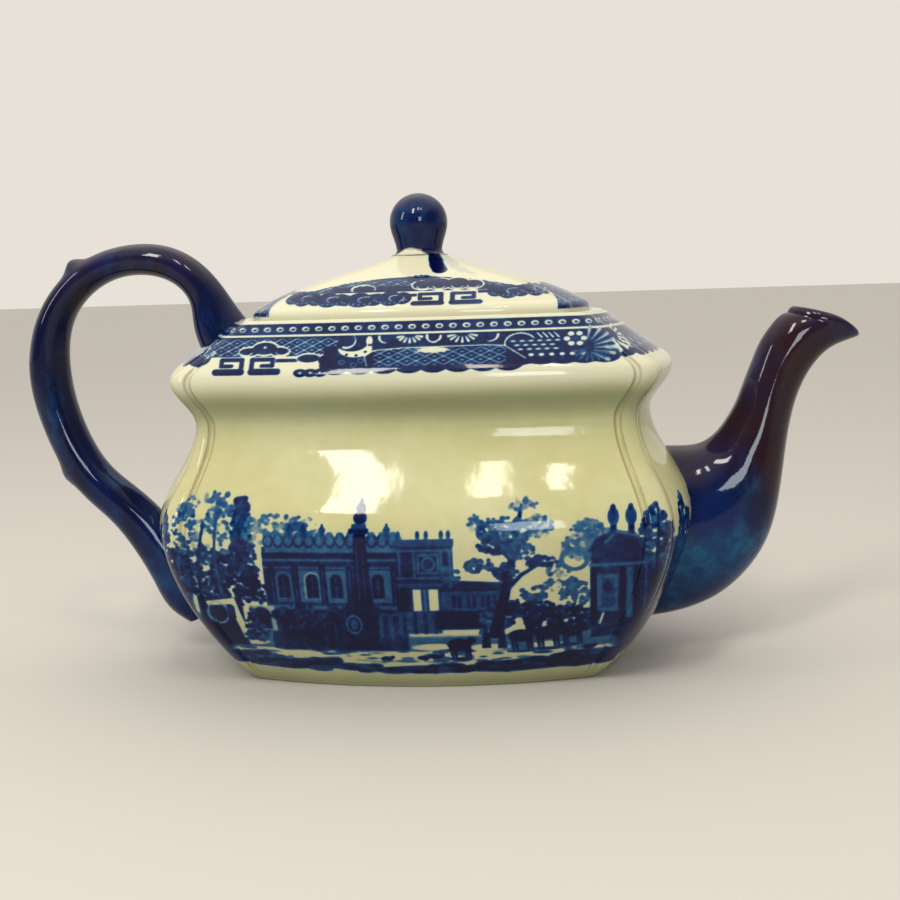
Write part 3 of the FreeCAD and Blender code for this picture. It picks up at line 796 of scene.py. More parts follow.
def herd(sheet):
    """Cattle, sheep and herders by the path, as plain dark shapes."""
    beasts = [(-36.5, 16.6, 1.0), (-29.8, 17.0, 0.9), (12.6, 13.4, 1.05), (30.4, 15.6, 1.1),
              (38.0, 16.2, 1.15), (45.0, 16.8, 1.0), (34.0, 20.6, 0.8)]
    for x, y, size in beasts:
        sheet.oval(x, y + 2.0 * size, 3.3 * size, 1.9 * size, DARK)
        sheet.oval(x + 3.4 * size, y + 3.3 * size, 1.3 * size, 1.0 * size, DARK)
        for leg in (-2.4, -1.4, 1.6, 2.5):
            hip = (x + leg * size, y + 1.2 * size)
            hoof = (x + (leg + 0.4) * size, y - 2.6 * size)
            sheet.stroke([hip, hoof], 0.9 * size, DARK, 0.2, 0.5)
        sheet.oval(x, y - 2.9 * size, 3.6 * size, 0.45, NAVY)
    for x, y in [(2.0, 10.9), (5.6, 11.2), (-9.0, 10.6), (50.0, 12.6)]:
        sheet.oval(x, y, 1.7, 0.8, DARK)
        sheet.oval(x + 1.8, y + 0.6, 0.6, 0.5, DARK)
    for x, y in [(33.4, 23.0), (41.6, 22.6), (-24.6, 17.4), (20.4, 17.2), (25.0, 17.0), (47.0, 22.0)]:
        skirt = [(x - 1.3, y - 3.2), (x + 1.3, y - 3.2), (x + 0.7, y + 2.2), (x - 0.7, y + 2.2)]
        sheet.outline(skirt, DARK)
        sheet.oval(x, y + 3.1, 0.75, 0.9, NAVY)


def arc_point(x, y, half_width, half_height, angle):
    """Point on an oval at an angle, on a sheet whose y runs down."""
    turn = math.radians(angle)
    return x + half_width * math.cos(turn), y - half_height * math.sin(turn)


def arc_points(x, y, half_width, half_height, first, last, count=12):
    angles = np.linspace(first, last, count)
    return [arc_point(x, y, half_width, half_height, angle) for angle in angles]


def net(sheet, x0, x1, y0, y1, pitch=4.6, flatness=1.7):
    """Slanted net of pale lines with a small star in every mesh."""
    outside = box_gap(x0, x1, y0, y1)

    def folded(x, y, lean):
        return np.abs((x + lean * flatness * (y - y0)) % pitch - pitch / 2.0)

    def lines(x, y):
        gap = pitch / 2.0 - np.maximum(folded(x, y, 1.0), folded(x, y, -1.0))
        return np.maximum(gap * 0.5 - 0.2, outside(x, y))

    def stars(x, y):
        spread = np.sqrt(folded(x, y, 1.0)) + np.sqrt(folded(x, y, -1.0))
        return np.maximum((spread - 1.25) * 0.5, outside(x, y))
    sheet.paint((x0, x1, y0, y1), lines, LINE, 0.16)
    sheet.paint((x0, x1, y0, y1), stars, LINE, 0.16)


def cloud(sheet, puffs, line=0.6):
    """Dark cloud of puffs (x, y, half width, half height) with one pale outline round them all."""
    for x, y, width, height in puffs:
        sheet.oval(x, y, width, height, BARE, 0.15)
    for x, y, width, height in puffs:
        sheet.oval(x, y, width - line, height - line, NAVY, 0.15)


def shell_fan(sheet, x, y, size):
    """Half shell of pale rays that hangs from the white line, with a hooked curl on each side."""
    for turn in range(-165, 0, 25):
        near = arc_point(x, y, 1.9 * size, 0.9 * size, turn)
        far = arc_point(x, y, 3.6 * size, 2.4 * size, turn)
        sheet.stroke([near, far], 0.5, LINE, 0.15, 1.0)
    for side, first, last in [(-1, 170, 270), (1, 0, -100)]:
        hook = arc_points(x + side * 6.6 * size, y + 0.6, 2.2 * size, 1.9 * size, first, last, 6)
        sheet.stroke(hook, 1.0, LINE, 0.15, 0.4)


def crescent(sheet, x, y):
    """White crescent moon with dark spots, horns up, and a thin curl inside it."""
    sheet.oval(x, y, 5.0, 2.9, BARE, 0.15)
    sheet.oval(x - 1.0, y - 1.7, 4.4, 2.5, NAVY, 0.15)
    sheet.oval(x + 4.0, y - 2.6, 1.0, 1.7, BARE, 0.15)
    for shift, drop in [(-2.4, 1.9), (0.4, 2.2), (3.0, 1.1), (4.1, -1.2)]:
        sheet.oval(x + shift, y + drop, 0.42, 0.36, NAVY, 0.15)
    sheet.stroke(arc_points(x - 2.6, y - 2.8, 2.6, 2.4, 40, -110), 0.35, LINE, 0.15, 0.9)


def key_pair(sheet, x, gap, y, width, height):
    """Two square meanders that run outward from a gap each side of x, with y at their top."""
    path = [(1.0, 0.86), (0.12, 0.86), (0.12, 0.12), (0.82, 0.12), (0.82, 0.5), (0.46, 0.5)]
    for side in (-1, 1):
        points = [(x + side * (gap + across * width), y + down * height) for across, down in path]
        sheet.stroke(points, 0.26 * height, NAVY, 0.15, 0.2 * height)
        sheet.stroke(points[:2], 0.36 * height, NAVY, 0.15)


def leaf_fan(sheet, x, y, reach, first, last, count, tone):
    """Leaves that spread from a point, each widening to its tip."""
    for turn in np.linspace(first, last, count):
        near = arc_point(x, y, 0.35 * reach, 0.3 * reach, turn)
        far = arc_point(x, y, reach, 0.75 * reach, turn + 8)
        sheet.stroke([near, far], 0.35, tone, 0.15, 0.16 * reach)


def bead_row(sheet, y):
    """Dark strip with ringed beads between two white lines."""
    sheet.slab(-114, 114, y - 1.9, y + 1.8, NAVY, 0.15)
    for x in np.arange(-112.0, 112.0, 3.9):
        sheet.oval(x, y, 1.25, 0.95, LINE, 0.15)
        sheet.oval(x + 0.1, y + 0.1, 0.55, 0.36, BLUE, 0.12)


def shoulder_left(sheet):
    """Net, cloud and crescent over a bare field with two meanders."""
    net(sheet, -66, -20, 6.0, 11.8)
    cloud(sheet, [(-46.5, 10.4, 3.4, 1.9), (-41.8, 9.3, 4.2, 2.6), (-37.2, 10.4, 3.2, 1.9)])
    sheet.oval(-41.8, 8.9, 0.6, 0.5, LINE, 0.15)
    for x, first, last in [(-47.2, 200, 360), (-36.6, 180, 340)]:
        sheet.stroke(arc_points(x, 10.6, 1.7, 1.0, first, last), 0.4, LINE, 0.15)
    key_pair(sheet, -46.7, 0.5, 12.4, 8.8, 5.4)
    sheet.slab(-38.0, -30.0, 12.9, 14.0, NAVY, 0.15)
    cloud(sheet, [(-28.4, 12.9, 3.8, 1.9), (-22.6, 13.6, 3.4, 2.6)])
    for x in (-30.6, -27.6, -24.8):
        sheet.oval(x, 17.6, 1.9, 1.2, NAVY, 0.2)
        sheet.oval(x, 17.6, 0.6, 0.4, LINE, 0.15)


def shoulder_middle(sheet):
    """Dark field with half shells over a net, closed below by a scalloped hem."""
    sheet.slab(-24, 56, 9.0, 16.4, NAVY, 0.2)
    for x in np.arange(-20.4, 32.0, 7.0):
        sheet.oval(x, 15.4, 4.6, 2.9, NAVY, 0.2)
    for x in (32.0, 38.0, 44.0, 50.0, 56.0):
        sheet.oval(x, 14.6, 4.2, 2.2, NAVY, 0.2)
    net(sheet, -9.6, 28.0, 10.4, 16.0, 5.2, 1.9)
    sheet.oval(7.2, 11.0, 5.0, 1.0, LINE, 0.25)
    wave = [(-11.4, 15.8), (-12.2, 12.6), (-9.6, 10.7), (-2, 10.1), (10, 9.9), (22, 9.8), (27.6, 10.2),
            (30.0, 12.0), (33.4, 14.6)]
    sheet.stroke(wave, 0.5, LINE, 0.15)
    for x, size in [(0.6, 1.0), (15.6, 1.15)]:
        shell_fan(sheet, x, 5.8, size)
    crescent(sheet, -15.0, 10.0)
    for x, y in [(-18.6, 14.4), (-15.2, 15.4), (-13.2, 14.0)]:
        sheet.ring(x, y, 0.8, 0.7, 0.3, PALE, 0.15)


def shoulder_right(sheet):
    """Scroll, rows of leaf dabs, a flower and leaves that curl round it."""
    sheet.stroke(arc_points(32.0, 9.6, 4.4, 3.4, 190, 30), 0.6, LINE, 0.15)
    for x in (36.8, 38.4, 40.0, 41.6):
        sheet.stroke([(x, 6.2), (x + 1.3, 7.8)], 0.5, LINE, 0.15, 0.7)
    for row, y in enumerate((8.9, 10.3, 11.7)):
        for x in np.arange(30.0 + row, 43.5, 2.5):
            sheet.oval(x, y, 0.95, 0.38, LINE, 0.15)
    for x in np.arange(35.0, 50.0, 2.9):
        sheet.oval(x, 13.6, 0.9, 0.6, LINE, 0.15)
    for px, py in arc_points(47.6, 8.6, 2.4, 1.9, 0, 300, 6):
        sheet.oval(px, py, 1.05, 0.85, LINE, 0.15)
    sheet.oval(47.6, 8.6, 0.8, 0.6, BLUE, 0.15)
    leaf_fan(sheet, 50.0, 11.4, 9.0, -50, 70, 7, PALE)
    leaf_fan(sheet, 58.0, 7.4, 8.0, -80, 20, 7, LINE)
    leaf_fan(sheet, 52.0, 12.4, 5.0, 180, 330, 8, TEAL)


def undergrowth(sheet):
    """Dark bushes along the foot of the houses."""
    bushes(sheet, 81, [(-30, 25, 12, 3.6, 90, DARK), (24, 24.5, 5, 4.2, 90, NAVY),
                       (33, 26.5, 7, 3.6, 100, DARK), (45, 22.5, 7, 5.2, 150, DARK),
                       (22, 20.0, 3, 3.5, 34, TEAL), (-47, 19, 4, 3, 40, NAVY)], 1.0, 0.3)


def end_woods(sheet):
    """The wood that carries the picture round the pot's ends."""
    for side in (-1, 1):
        sheet.slab(66 if side > 0 else -112, 112 if side > 0 else -66, 12, 40, NAVY, 1.0)
        for k, x in enumerate(np.arange(69.0, 112.0, 6.5)):
            top = 50.0 + 6.0 * math.sin(2.1 * k + side)
            sheet.foliage(side * x, top - 8.0, 4.6, 9.0, 150, NAVY, 200 + 10 * k + side, 1.0, 0.45)
            sheet.stroke([(side * x, 18), (side * (x + 0.8), top)], 1.4, DARK, 0.2, 0.5)


def landscape():
    """The printed scene round the belly. x runs along the surface, y is the height."""
    sheet = Sheet(*LANDSCAPE_SHEET, 0.2)
    for draw in (ground, end_woods, side_trees, villa, garden_gate, pavilion, annex, undergrowth,
                 middle_tree, monument, herd, column):
        draw(sheet)
    sheet.soften(2)
    return sheet


def shoulder_print():
    """The printed band on the shoulder. x runs along the surface, y down the slope from the rim."""
    sheet = Sheet(*SHOULDER_SHEET, 0.15)
    bead_row(sheet, 2.8)
    sheet.slab(-114, 114, 5.4, 12.0, NAVY, 0.15)
    for side in (-1, 1):
        for x in np.arange(62.0, 113.0, 6.0):
            sheet.oval(side * x, 12.4, 3.8, 2.6, NAVY, 0.2)
            leaf_fan(sheet, side * x, 13.4, 6.4, 30, 150, 5, PALE)
    shoulder_left(sheet)
    shoulder_middle(sheet)
    shoulder_right(sheet)
    sheet.soften(1)
    return sheet


def scroll(sheet, x, y, half_width, half_height):
    """Cloud scroll: dark puffs, a row of pale dots along their edge and a curl."""
    for shift, size in [(-0.6, 0.72), (0.0, 1.0), (0.6, 0.8)]:
        sheet.oval(x + shift * half_width, y, half_width * 0.52 * size, half_height * size, NAVY, 0.2)
    for px, py in arc_points(x, y, 0.8 * half_width, 0.62 * half_height, 200, 340, 9):
        sheet.oval(px, py, 0.34, 0.3, LINE, 0.14)
    curl = arc_points(x + 0.3 * half_width, y, 0.36 * half_width, 0.42 * half_height, -60, 230)
    sheet.stroke(curl, 0.45, LINE, 0.15)


def lid_crown(x, y):
    """Distance outside the dark field on the lid, which is highest in its middle."""
    top = 14.6 + 0.0072 * np.minimum(x * x, 900.0)
    return np.maximum(top - y, y - 22.4)


def lid_print():
    """Print and a painted knob reflection on the lid. x along its front, y down the slope from the knob."""
    sheet = Sheet(*LID_SHEET, 0.15)
    sheet.paint((-72, 72, 14.0, 22.4), lid_crown, NAVY, 0.2)
    sheet.slab(-72, -43, 20.0, 31.5, NAVY, 0.3)
    sheet.slab(43, 72, 20.0, 31.5, NAVY, 0.3)
    for field in [(-72, -24, 18.6, 30.5), (25, 72, 18.6, 30.5), (-24, 1, 15.8, 19.6), (19, 25, 15.8, 20.4)]:
        net(sheet, *field)
    sheet.slab(-41.0, 41.0, 22.6, 31.5, BARE, 0.3)
    cloud(sheet, [(3.2, 19.4, 3.6, 2.8), (8.0, 18.9, 4.0, 3.5), (13.4, 18.9, 4.0, 3.5),
                  (18.0, 19.6, 3.4, 2.8)])
    for x in (3.2, 8.0, 13.4, 18.0):
        sheet.stroke(arc_points(x, 20.2, 1.7, 1.3, 180, 350), 0.5, LINE, 0.15)
    sheet.stroke(arc_points(-14.6, 20.8, 3.6, 2.2, 200, -20), 1.0, LINE, 0.15, 0.5)
    scrolls = [(-33.0, 24.6, 5.6), (-25.0, 25.4, 6.4), (-15.4, 25.8, 7.0), (-6.2, 25.4, 6.2),
               (28.4, 23.6, 6.2), (36.6, 22.9, 5.6)]
    for x, y, width in scrolls:
        scroll(sheet, x, y, width, 3.2)
    key_pair(sheet, 10.5, 0.6, 23.2, 8.9, 5.5)
    sheet.slab(-4.0, 1.6, 23.6, 24.8, NAVY, 0.18)
    sheet.slab(19.6, 25.4, 22.8, 24.0, NAVY, 0.18)
    sheet.foliage(2.6, 15.6, 5.0, 1.8, 46, NAVY, 91, 0.7)
    # Pale blue smear right of the cobalt run: a painted reflection of the knob.
    sheet.stroke([(8.4, 1.0), (10.8, 6.5), (14.5, 11.0), (18.2, 13.8)], 5.0, 0.17, 0.9, 2.2)
    sheet.stroke([(5.4, 0.0), (5.8, 3.4), (6.4, 7.0), (7.6, 10.4)], 3.6, DARK, 0.3, 4.4)
    sheet.soften(1)
    return sheet


# --- Materials -----------------------------------------------------------------------------------
CREAM = (0.46, 0.438, 0.222, 1.0)
CREAM_PALE = (0.53, 0.505, 0.305, 1.0)
CREAM_GREEN = (0.38, 0.40, 0.19, 1.0)
# Paler, whiter cream high up: a painted sheen of the bright ceiling on the shoulder, lid and knob foot.
CREAM_SHEEN = (0.57, 0.555, 0.405, 1.0)
SHEEN_FROM = (0.087, 0.093)       # metres above the table, over which the painted sheen comes in
CREAM_CHANGES = [           # attribute of the mesh, strength, colour
    # painted shade under the shoulder and painted contact shadow at the foot
    ("painted_shade", 0.70, (0.155, 0.190, 0.100, 1.0)),
    ("bleed", 0.62, (0.20, 0.36, 0.36, 1.0)),
    ("thin", 0.66, (0.16, 0.10, 0.04, 1.0)),
]
INK_STOPS = [
    (0.00, (0.055, 0.150, 0.230)),
    (0.35, (0.018, 0.090, 0.190)),
    (0.62, (0.004, 0.030, 0.115)),
    (0.85, (0.001, 0.006, 0.052)),
    (1.00, (0.0005, 0.002, 0.028)),
]
COBALT_DEEP = (0.0008, 0.003, 0.026, 1.0)
COBALT = (0.0012, 0.010, 0.075, 1.0)
COBALT_STREAK = (0.004, 0.050, 0.15, 1.0)
COBALT_TEAL = (0.003, 0.085, 0.19, 1.0)
COBALT_SPECK = (0.002, 0.008, 0.038, 1.0)
# Purple-brown high on the cobalt: partly the glaze's own colour, partly a painted reflection of warm lamps.
COBALT_BROWN_AND_SHEEN = (0.026, 0.008, 0.006, 1.0)
GLAZE_IOR = 1.34


class Nodes:
    """Builds the node tree of a material or a world."""

    def __init__(self, owner):
        owner.use_nodes = True
        self.owner = owner
        self.tree = owner.node_tree

    def add(self, kind, **settings):
        node = self.tree.nodes.new(kind)
        for key, value in settings.items():
            setattr(node, key, value)
        return node

    def put(self, value, socket):
        if isinstance(value, bpy.types.NodeSocket):
            self.tree.links.new(value, socket)
        else:
            socket.default_value = value

    def math(self, operation, a, b, clamp=False):
        node = self.add("ShaderNodeMath", operation=operation, use_clamp=clamp)
        self.put(a, node.inputs[0])
        self.put(b, node.inputs[1])
        return node.outputs[0]

    def times(self, a, b):
        return self.math("MULTIPLY", a, b)

    def plus(self, a, b):
        return self.math("ADD", a, b)

    def minus(self, a, b):
        return self.math("SUBTRACT", a, b)

    def mix(self, share, a, b):
        """Colour a share of the way from a to b."""
        node = self.add("ShaderNodeMix", data_type="RGBA")
        self.put(share, node.inputs[0])
        self.put(a, node.inputs[6])
        self.put(b, node.inputs[7])
        return node.outputs[2]

    def noise(self, scale, detail=3.0, rough=0.5, stretch=(1.0, 1.0, 1.0)):
        """Noise over the object's own place. scale counts per metre."""
        mapping = self.add("ShaderNodeMapping")
        self.put(self.add("ShaderNodeTexCoord").outputs["Object"], mapping.inputs["Vector"])
        mapping.inputs["Scale"].default_value = stretch
        node = self.add("ShaderNodeTexNoise")
        self.put(mapping.outputs[0], node.inputs["Vector"])
        node.inputs["Scale"].default_value = scale
        node.inputs["Detail"].default_value = detail
        node.inputs["Roughness"].default_value = rough
        return node.outputs[0]

    def ramp(self, value, stops):
        node = self.add("ShaderNodeValToRGB")
        self.put(value, node.inputs[0])
        elements = node.color_ramp.elements
        while len(elements) < len(stops):
            elements.new(1.0)
        for element, (place, color) in zip(elements, stops):
            element.position = place
            element.color = (*color, 1.0)
        return node.outputs[0]

    def span(self, value, low, high, start=0.0, end=1.0):
        """start below low, end above high, and a smooth change between them."""
        node = self.add("ShaderNodeMapRange", interpolation_type="SMOOTHSTEP")
        self.put(value, node.inputs[0])
        for socket, number in zip(node.inputs[1:5], (low, high, start, end)):
            socket.default_value = number
        return node.outputs[0]

    def place(self, space, axis):
        parts = self.add("ShaderNodeSeparateXYZ")
        self.put(self.add("ShaderNodeTexCoord").outputs[space], parts.inputs[0])
        return parts.outputs[axis]

    def height(self):
        """Height above the table in metres, with the lid on."""
        return self.place("Object", "Z")

    def attribute(self, name):
        return self.add("ShaderNodeAttribute", attribute_name=name).outputs["Fac"]

    def glaze(self, color, roughness):
        """High-gloss glass over the coloured clay, with the slow swell and fine peel of a pour."""
        swell = self.noise(38.0, 2.0, 0.5)
        peel = self.noise(420.0, 2.0, 0.5)
        bump = self.add("ShaderNodeBump")
        self.put(self.plus(swell, self.times(peel, 0.05)), bump.inputs["Height"])
        bump.inputs["Distance"].default_value = 0.0011
        bump.inputs["Strength"].default_value = 0.35
        shader = self.tree.nodes["Principled BSDF"]
        self.put(color, shader.inputs["Base Color"])
        self.put(bump.outputs[0], shader.inputs["Normal"])
        shader.inputs["Roughness"].default_value = roughness
        shader.inputs["IOR"].default_value = GLAZE_IOR
        return self.owner


def cream_color(nodes):
    """Pale yellow-green glaze, a little greener and thicker in drifting patches."""
    drift = nodes.span(nodes.noise(22.0, 4.0, 0.6), 0.35, 0.7)
    fine = nodes.span(nodes.noise(260.0, 2.0, 0.5), 0.3, 0.75)
    return nodes.mix(nodes.times(fine, 0.25), nodes.mix(drift, CREAM, CREAM_PALE), CREAM_GREEN)


def printed_glaze():
    """Cream glaze over blue print, whose tone, bleed, crease lines and painted shade come with the mesh."""
    nodes = Nodes(bpy.data.materials.new("printed_glaze"))
    tone = nodes.attribute("tone")
    flow = nodes.times(nodes.minus(nodes.noise(520.0, 4.0, 0.65), 0.5), 0.6)
    patches = nodes.times(nodes.minus(nodes.noise(120.0, 3.0, 0.6), 0.5), 0.55)
    uneven = nodes.times(nodes.plus(flow, patches), nodes.span(tone, 0.04, 0.3))
    ink = nodes.ramp(nodes.math("ADD", tone, uneven, clamp=True), INK_STOPS)
    cover = nodes.span(nodes.plus(tone, nodes.times(flow, 0.3)), 0.08, 0.36)
    # Higher up the cream turns paler and whiter: a painted sheen of the ceiling.
    cream = nodes.mix(nodes.span(nodes.height(), *SHEEN_FROM), cream_color(nodes), CREAM_SHEEN)
    for name, strength, color in CREAM_CHANGES:
        cream = nodes.mix(nodes.times(nodes.attribute(name), strength), cream, color)
    return nodes.glaze(nodes.mix(cover, cream, ink), 0.07)


def cobalt_color(nodes, brown_from=0.050, brown_to=0.070, brown=0.8, teal_below=0.046):
    """Deep cobalt, teal and mottled low down, purple-brown higher up: partly glaze colour, partly painted
    warm reflection.
    """
    run = (1.0, 1.0, 0.4)
    patches = nodes.span(nodes.noise(34.0, 4.0, 0.6, run), 0.38, 0.66)
    streaks = nodes.span(nodes.noise(85.0, 5.0, 0.72, run), 0.50, 0.70)
    specks = nodes.span(nodes.noise(900.0, 2.0, 0.6), 0.55, 0.75)
    mottle = nodes.span(nodes.noise(150.0, 4.0, 0.7), 0.40, 0.62)
    wander = nodes.times(nodes.noise(40.0, 3.0, 0.6), 0.05)
    height = nodes.plus(nodes.height(), nodes.minus(wander, 0.025))
    # Brown higher up, partly the glaze's colour and partly a painted reflection of the warm lamps.
    brown_and_sheen_share = nodes.times(nodes.span(height, brown_from, brown_to), brown)
    brown_and_sheen_share = nodes.times(brown_and_sheen_share, nodes.plus(nodes.times(patches, -0.55), 1.0))
    low = nodes.minus(1.0, nodes.span(height, teal_below - 0.012, teal_below))
    teal_band = nodes.times(low, nodes.span(height, 0.012, 0.030))
    teal_share = nodes.times(teal_band, nodes.plus(nodes.times(mottle, 0.6), 0.3))
    color = nodes.mix(patches, COBALT_DEEP, COBALT)
    color = nodes.mix(nodes.times(streaks, 0.5), color, COBALT_STREAK)
    color = nodes.mix(teal_share, color, COBALT_TEAL)
    color = nodes.mix(nodes.times(specks, 0.4), color, COBALT_SPECK)
    return nodes.mix(brown_and_sheen_share, color, COBALT_BROWN_AND_SHEEN)


def cobalt_glaze(name, *where):
    nodes = Nodes(bpy.data.materials.new(name))
    return nodes.glaze(cobalt_color(nodes, *where), 0.06)


def knob_glaze():
    """Cobalt that ends in an arched hem over the cream at the knob's foot."""
    nodes = Nodes(bpy.data.materials.new("knob_cobalt"))
    cobalt = cobalt_color(nodes, brown=0.0)
    # The bare cream at the knob's foot takes the same painted sheen as the lid.
    return nodes.glaze(nodes.mix(nodes.attribute("bare"), cobalt, CREAM_SHEEN), 0.06)


# --- Pieces --------------------------------------------------------------------------------------
def slope_down(levels, top, columns):
    """Distance of every point below a level, down the front's middle line."""
    depth = np.array([level.half_depth for level in levels])
    height = np.array([level.height for level in levels])
    along = np.concatenate([[0.0], np.cumsum(np.hypot(np.diff(depth), np.diff(height)))])
    return np.repeat((along[top] - along)[:, None], columns, axis=1)


def carve(points, gap, rows, fade):
    """Presses flat-bottomed creases into the outer rows. fade is 0 to 1 for each of those rows."""
    normal = grid_normals(points)
    depth = CREASE_DEPTH * np.exp(-((gap[rows] / CREASE_WIDTH) ** 4)) * fade[:, None]
    points[rows] -= normal[rows] * depth[..., None]


def rise(points, place, height, reach):
    """Lets a smooth bump grow out of a skin near a place in the plane Y = 0."""
    normal = grid_normals(points)
    gap = points - np.array([place[0], 0.0, place[1]])
    share = np.exp(-(np.linalg.norm(gap, axis=2) / reach) ** 2)
    return points + normal * (height * share)[..., None]


def crease_fade(heights):
    """How deep the creases are at some heights: 0 none, 1 full depth."""
    start, deepen = CREASE_FOOT
    end, fade = CREASE_TOP
    return np.clip((heights - start) / deepen, 0.0, 1.0) * np.clip((end - heights) / fade, 0.0, 1.0)


def painted_shade_at(heights):
    """Painted shade at some heights: 0 not at all, 1 under the shoulder, plus a painted contact shadow at the
    foot.
    """
    reach = np.where(heights > SHADE_HEIGHT, SHADE_ABOVE, SHADE_BELOW)
    under_shoulder = np.exp(-(((heights - SHADE_HEIGHT) / reach) ** 2))
    return under_shoulder + FOOT_SHADOW_STRENGTH * np.exp(-((heights / FOOT_SHADOW_REACH) ** 2))


def print_on(piece, lays):
    """Gives a piece the tones of its sheets and the blue that bleeds out round them.

    lays is a list of (sheet, rows, x, y): the rows of the skin, and where they lie on the sheet.
    """
    tone = np.zeros(lays[0][2].shape)
    bleed = np.zeros(tone.shape)
    for sheet, rows, x, y in lays:
        tone[rows] = np.maximum(tone[rows], sheet.sample(x[rows], y[rows]))
        sheet.soften(BLEED_ROUNDS)
        bleed[rows] = np.maximum(bleed[rows], sheet.sample(x[rows], y[rows]))
    add_attribute(piece, "tone", tone)
    add_attribute(piece, "bleed", bleed)


def body_islands(first, last, rows, columns):
    """The outside, the foot and the inside, each in two halves."""
    half = columns // 2
    bands = [(first - 1, last, 0.42), (0, first - 1, 0.02), (last, rows - 1, 0.058)]
    return [(start, start + half, low, high, share) for low, high, share in bands for start in (0, half)]


def pot_body():
    levels, first, last = body_levels()
    points, distance, gap = level_skin(levels, BODY_COLUMNS)
    outer = slice(first, last)
    heights = np.array([level.height for level in levels])
    fade = crease_fade(heights[outer])
    carve(points, gap, outer, fade)
    rows, columns = points.shape[:2]
    piece = grid_mesh("teapot_body", points, body_islands(first, last, rows, columns))
    row = np.arange(rows)
    slope = (row >= first) & (row < last) & (heights > SHOULDER_PRINT_FOOT)
    print_on(piece, [(landscape(), outer, distance, points[..., 2]),
                     (shoulder_print(), slope, distance, slope_down(levels, last, columns))])
    thin = np.zeros((rows, columns))
    thin[outer] = np.exp(-(((gap[outer] - CREASE_LINE) / CREASE_LINE_WIDTH) ** 2)) * fade[:, None]
    # Painted shade under the shoulder's overhang and a painted contact shadow at the foot.
    painted_shade = np.zeros((rows, columns))
    painted_shade[outer] = painted_shade_at(heights[outer])[:, None]
    add_attribute(piece, "thin", thin)
    add_attribute(piece, "painted_shade", painted_shade)
    return piece


def lid():
    levels, first = lid_levels()
    points, distance, _ = level_skin(levels, LID_COLUMNS)
    rows, columns = points.shape[:2]
    half = columns // 2
    gap = np.hypot(points[first:, :, 0], points[first:, :, 1] - VENT_BACK)
    points[first:, :, 2] -= VENT_DEPTH * np.clip((VENT_DIAMETER / 2.0 - gap) / VENT_EDGE, 0.0, 1.0)
    islands = [(0, half, first, rows - 1, 0.4), (half, columns, first, rows - 1, 0.4),
               (0, columns, 0, first, 0.2)]
    piece = grid_mesh("teapot_lid", points, islands)
    print_on(piece, [(lid_print(), slice(first, rows), distance, slope_down(levels, -1, columns))])
    return piece


def rolled_lip(outer, inner, along):
    """Rows of the spout's lip from its outer rim over to its inner one, with its sides drawn up."""
    turn = ring_turns()
    upward = np.array([along[1], 0.0, -along[0]])
    amount = (LIP_ROUND + LIP_SWING * np.cos(turn))[:, None] * upward
    at_back = LIP_BACK * np.clip(np.cos(turn), 0.0, 1.0) ** 2
    crown = (LIP_CROWN * np.sin(turn) ** 2 + at_back)[:, None] * upward
    first = np.radians(LIP_START + LIP_TUCK * np.cos(turn))[:, None]
    last = math.radians(LIP_END)
    rows = []
    for share in np.linspace(0.0, 1.0, LIP_ROWS):
        roll = first + (last - first) * share
        edge = outer + (inner - outer) * (1.0 - np.cos(roll)) / 2.0
        rows.append(edge + crown + amount * (np.sin(roll) - 1.0))
    return np.array(rows)


def smooth_through(rows, count):
    """Rows of numbers on a natural cubic curve through the given ones, spaced by distance."""
    known = np.array(rows, dtype=float)
    steps = np.hypot(np.diff(known[:, 0]), np.diff(known[:, 1]))
    t = np.concatenate([[0.0], np.cumsum(steps)])
    n = len(t)
    h = np.diff(t)
    system = np.eye(n)
    target = np.zeros_like(known)
    for k in range(1, n - 1):
        system[k, k - 1:k + 2] = h[k - 1], 2 * (h[k - 1] + h[k]), h[k]
        target[k] = 6 * ((known[k + 1] - known[k]) / h[k] - (known[k] - known[k - 1]) / h[k - 1])
    bend = np.linalg.solve(system, target)
    at = np.linspace(0.0, t[-1], count)
    k = np.clip(np.searchsorted(t, at, side="right") - 1, 0, n - 2)
    a, b, width = (t[k + 1] - at)[:, None], (at - t[k])[:, None], h[k][:, None]
    curve = (bend[k] * a ** 3 + bend[k + 1] * b ** 3) / (6 * width)
    curve += (known[k] / width - bend[k] * width / 6) * a
    return curve + (known[k + 1] / width - bend[k + 1] * width / 6) * b


def ring_turns():
    return np.linspace(0.0, 2.0 * math.pi, RING_COLUMNS, endpoint=False)


def oval_skin(centres, along, depth, width):
    """Grid of ovals: depth runs along a direction in the plane Y = 0, width along Y."""
    turn = ring_turns()
    reach = (depth / 2.0)[:, None] * np.cos(turn)
    across = (width / 2.0)[:, None] * np.sin(turn)
    x = centres[:, :1] + along[:, :1] * reach
    z = centres[:, 1:2] + along[:, 1:2] * reach
    return np.stack([x, across, z], axis=-1)


def end_surface(y, z):
    """How far out the body's end reaches at points on it, which lie within the end panel."""
    heights = np.linspace(0.0, RIM.height, 400)
    sizes = np.array([body_level(h) for h in heights])
    _, length, depth, front, crown, _, lobe_depth, _ = [
        np.interp(z, heights, column) for column in sizes.T
    ]
    half_chord = depth - front - lobe_depth
    half_turn = 2.0 * np.arctan(crown / half_chord)
    radius = half_chord / np.sin(half_turn)
    return length - radius + np.sqrt(np.maximum(radius ** 2 - y ** 2, 0.0))


def rooted(points, side):
    """Holds a tube's root just inside the body's wall, so that none of it shows in the pot."""
    wall = end_surface(points[..., 1], points[..., 2]) - ROOT_DEPTH
    under_rim = points[..., 2] < RIM.height
    out = side * points[..., 0]
    points[..., 0] = side * np.where(under_rim, np.maximum(out, wall), out)
    return points


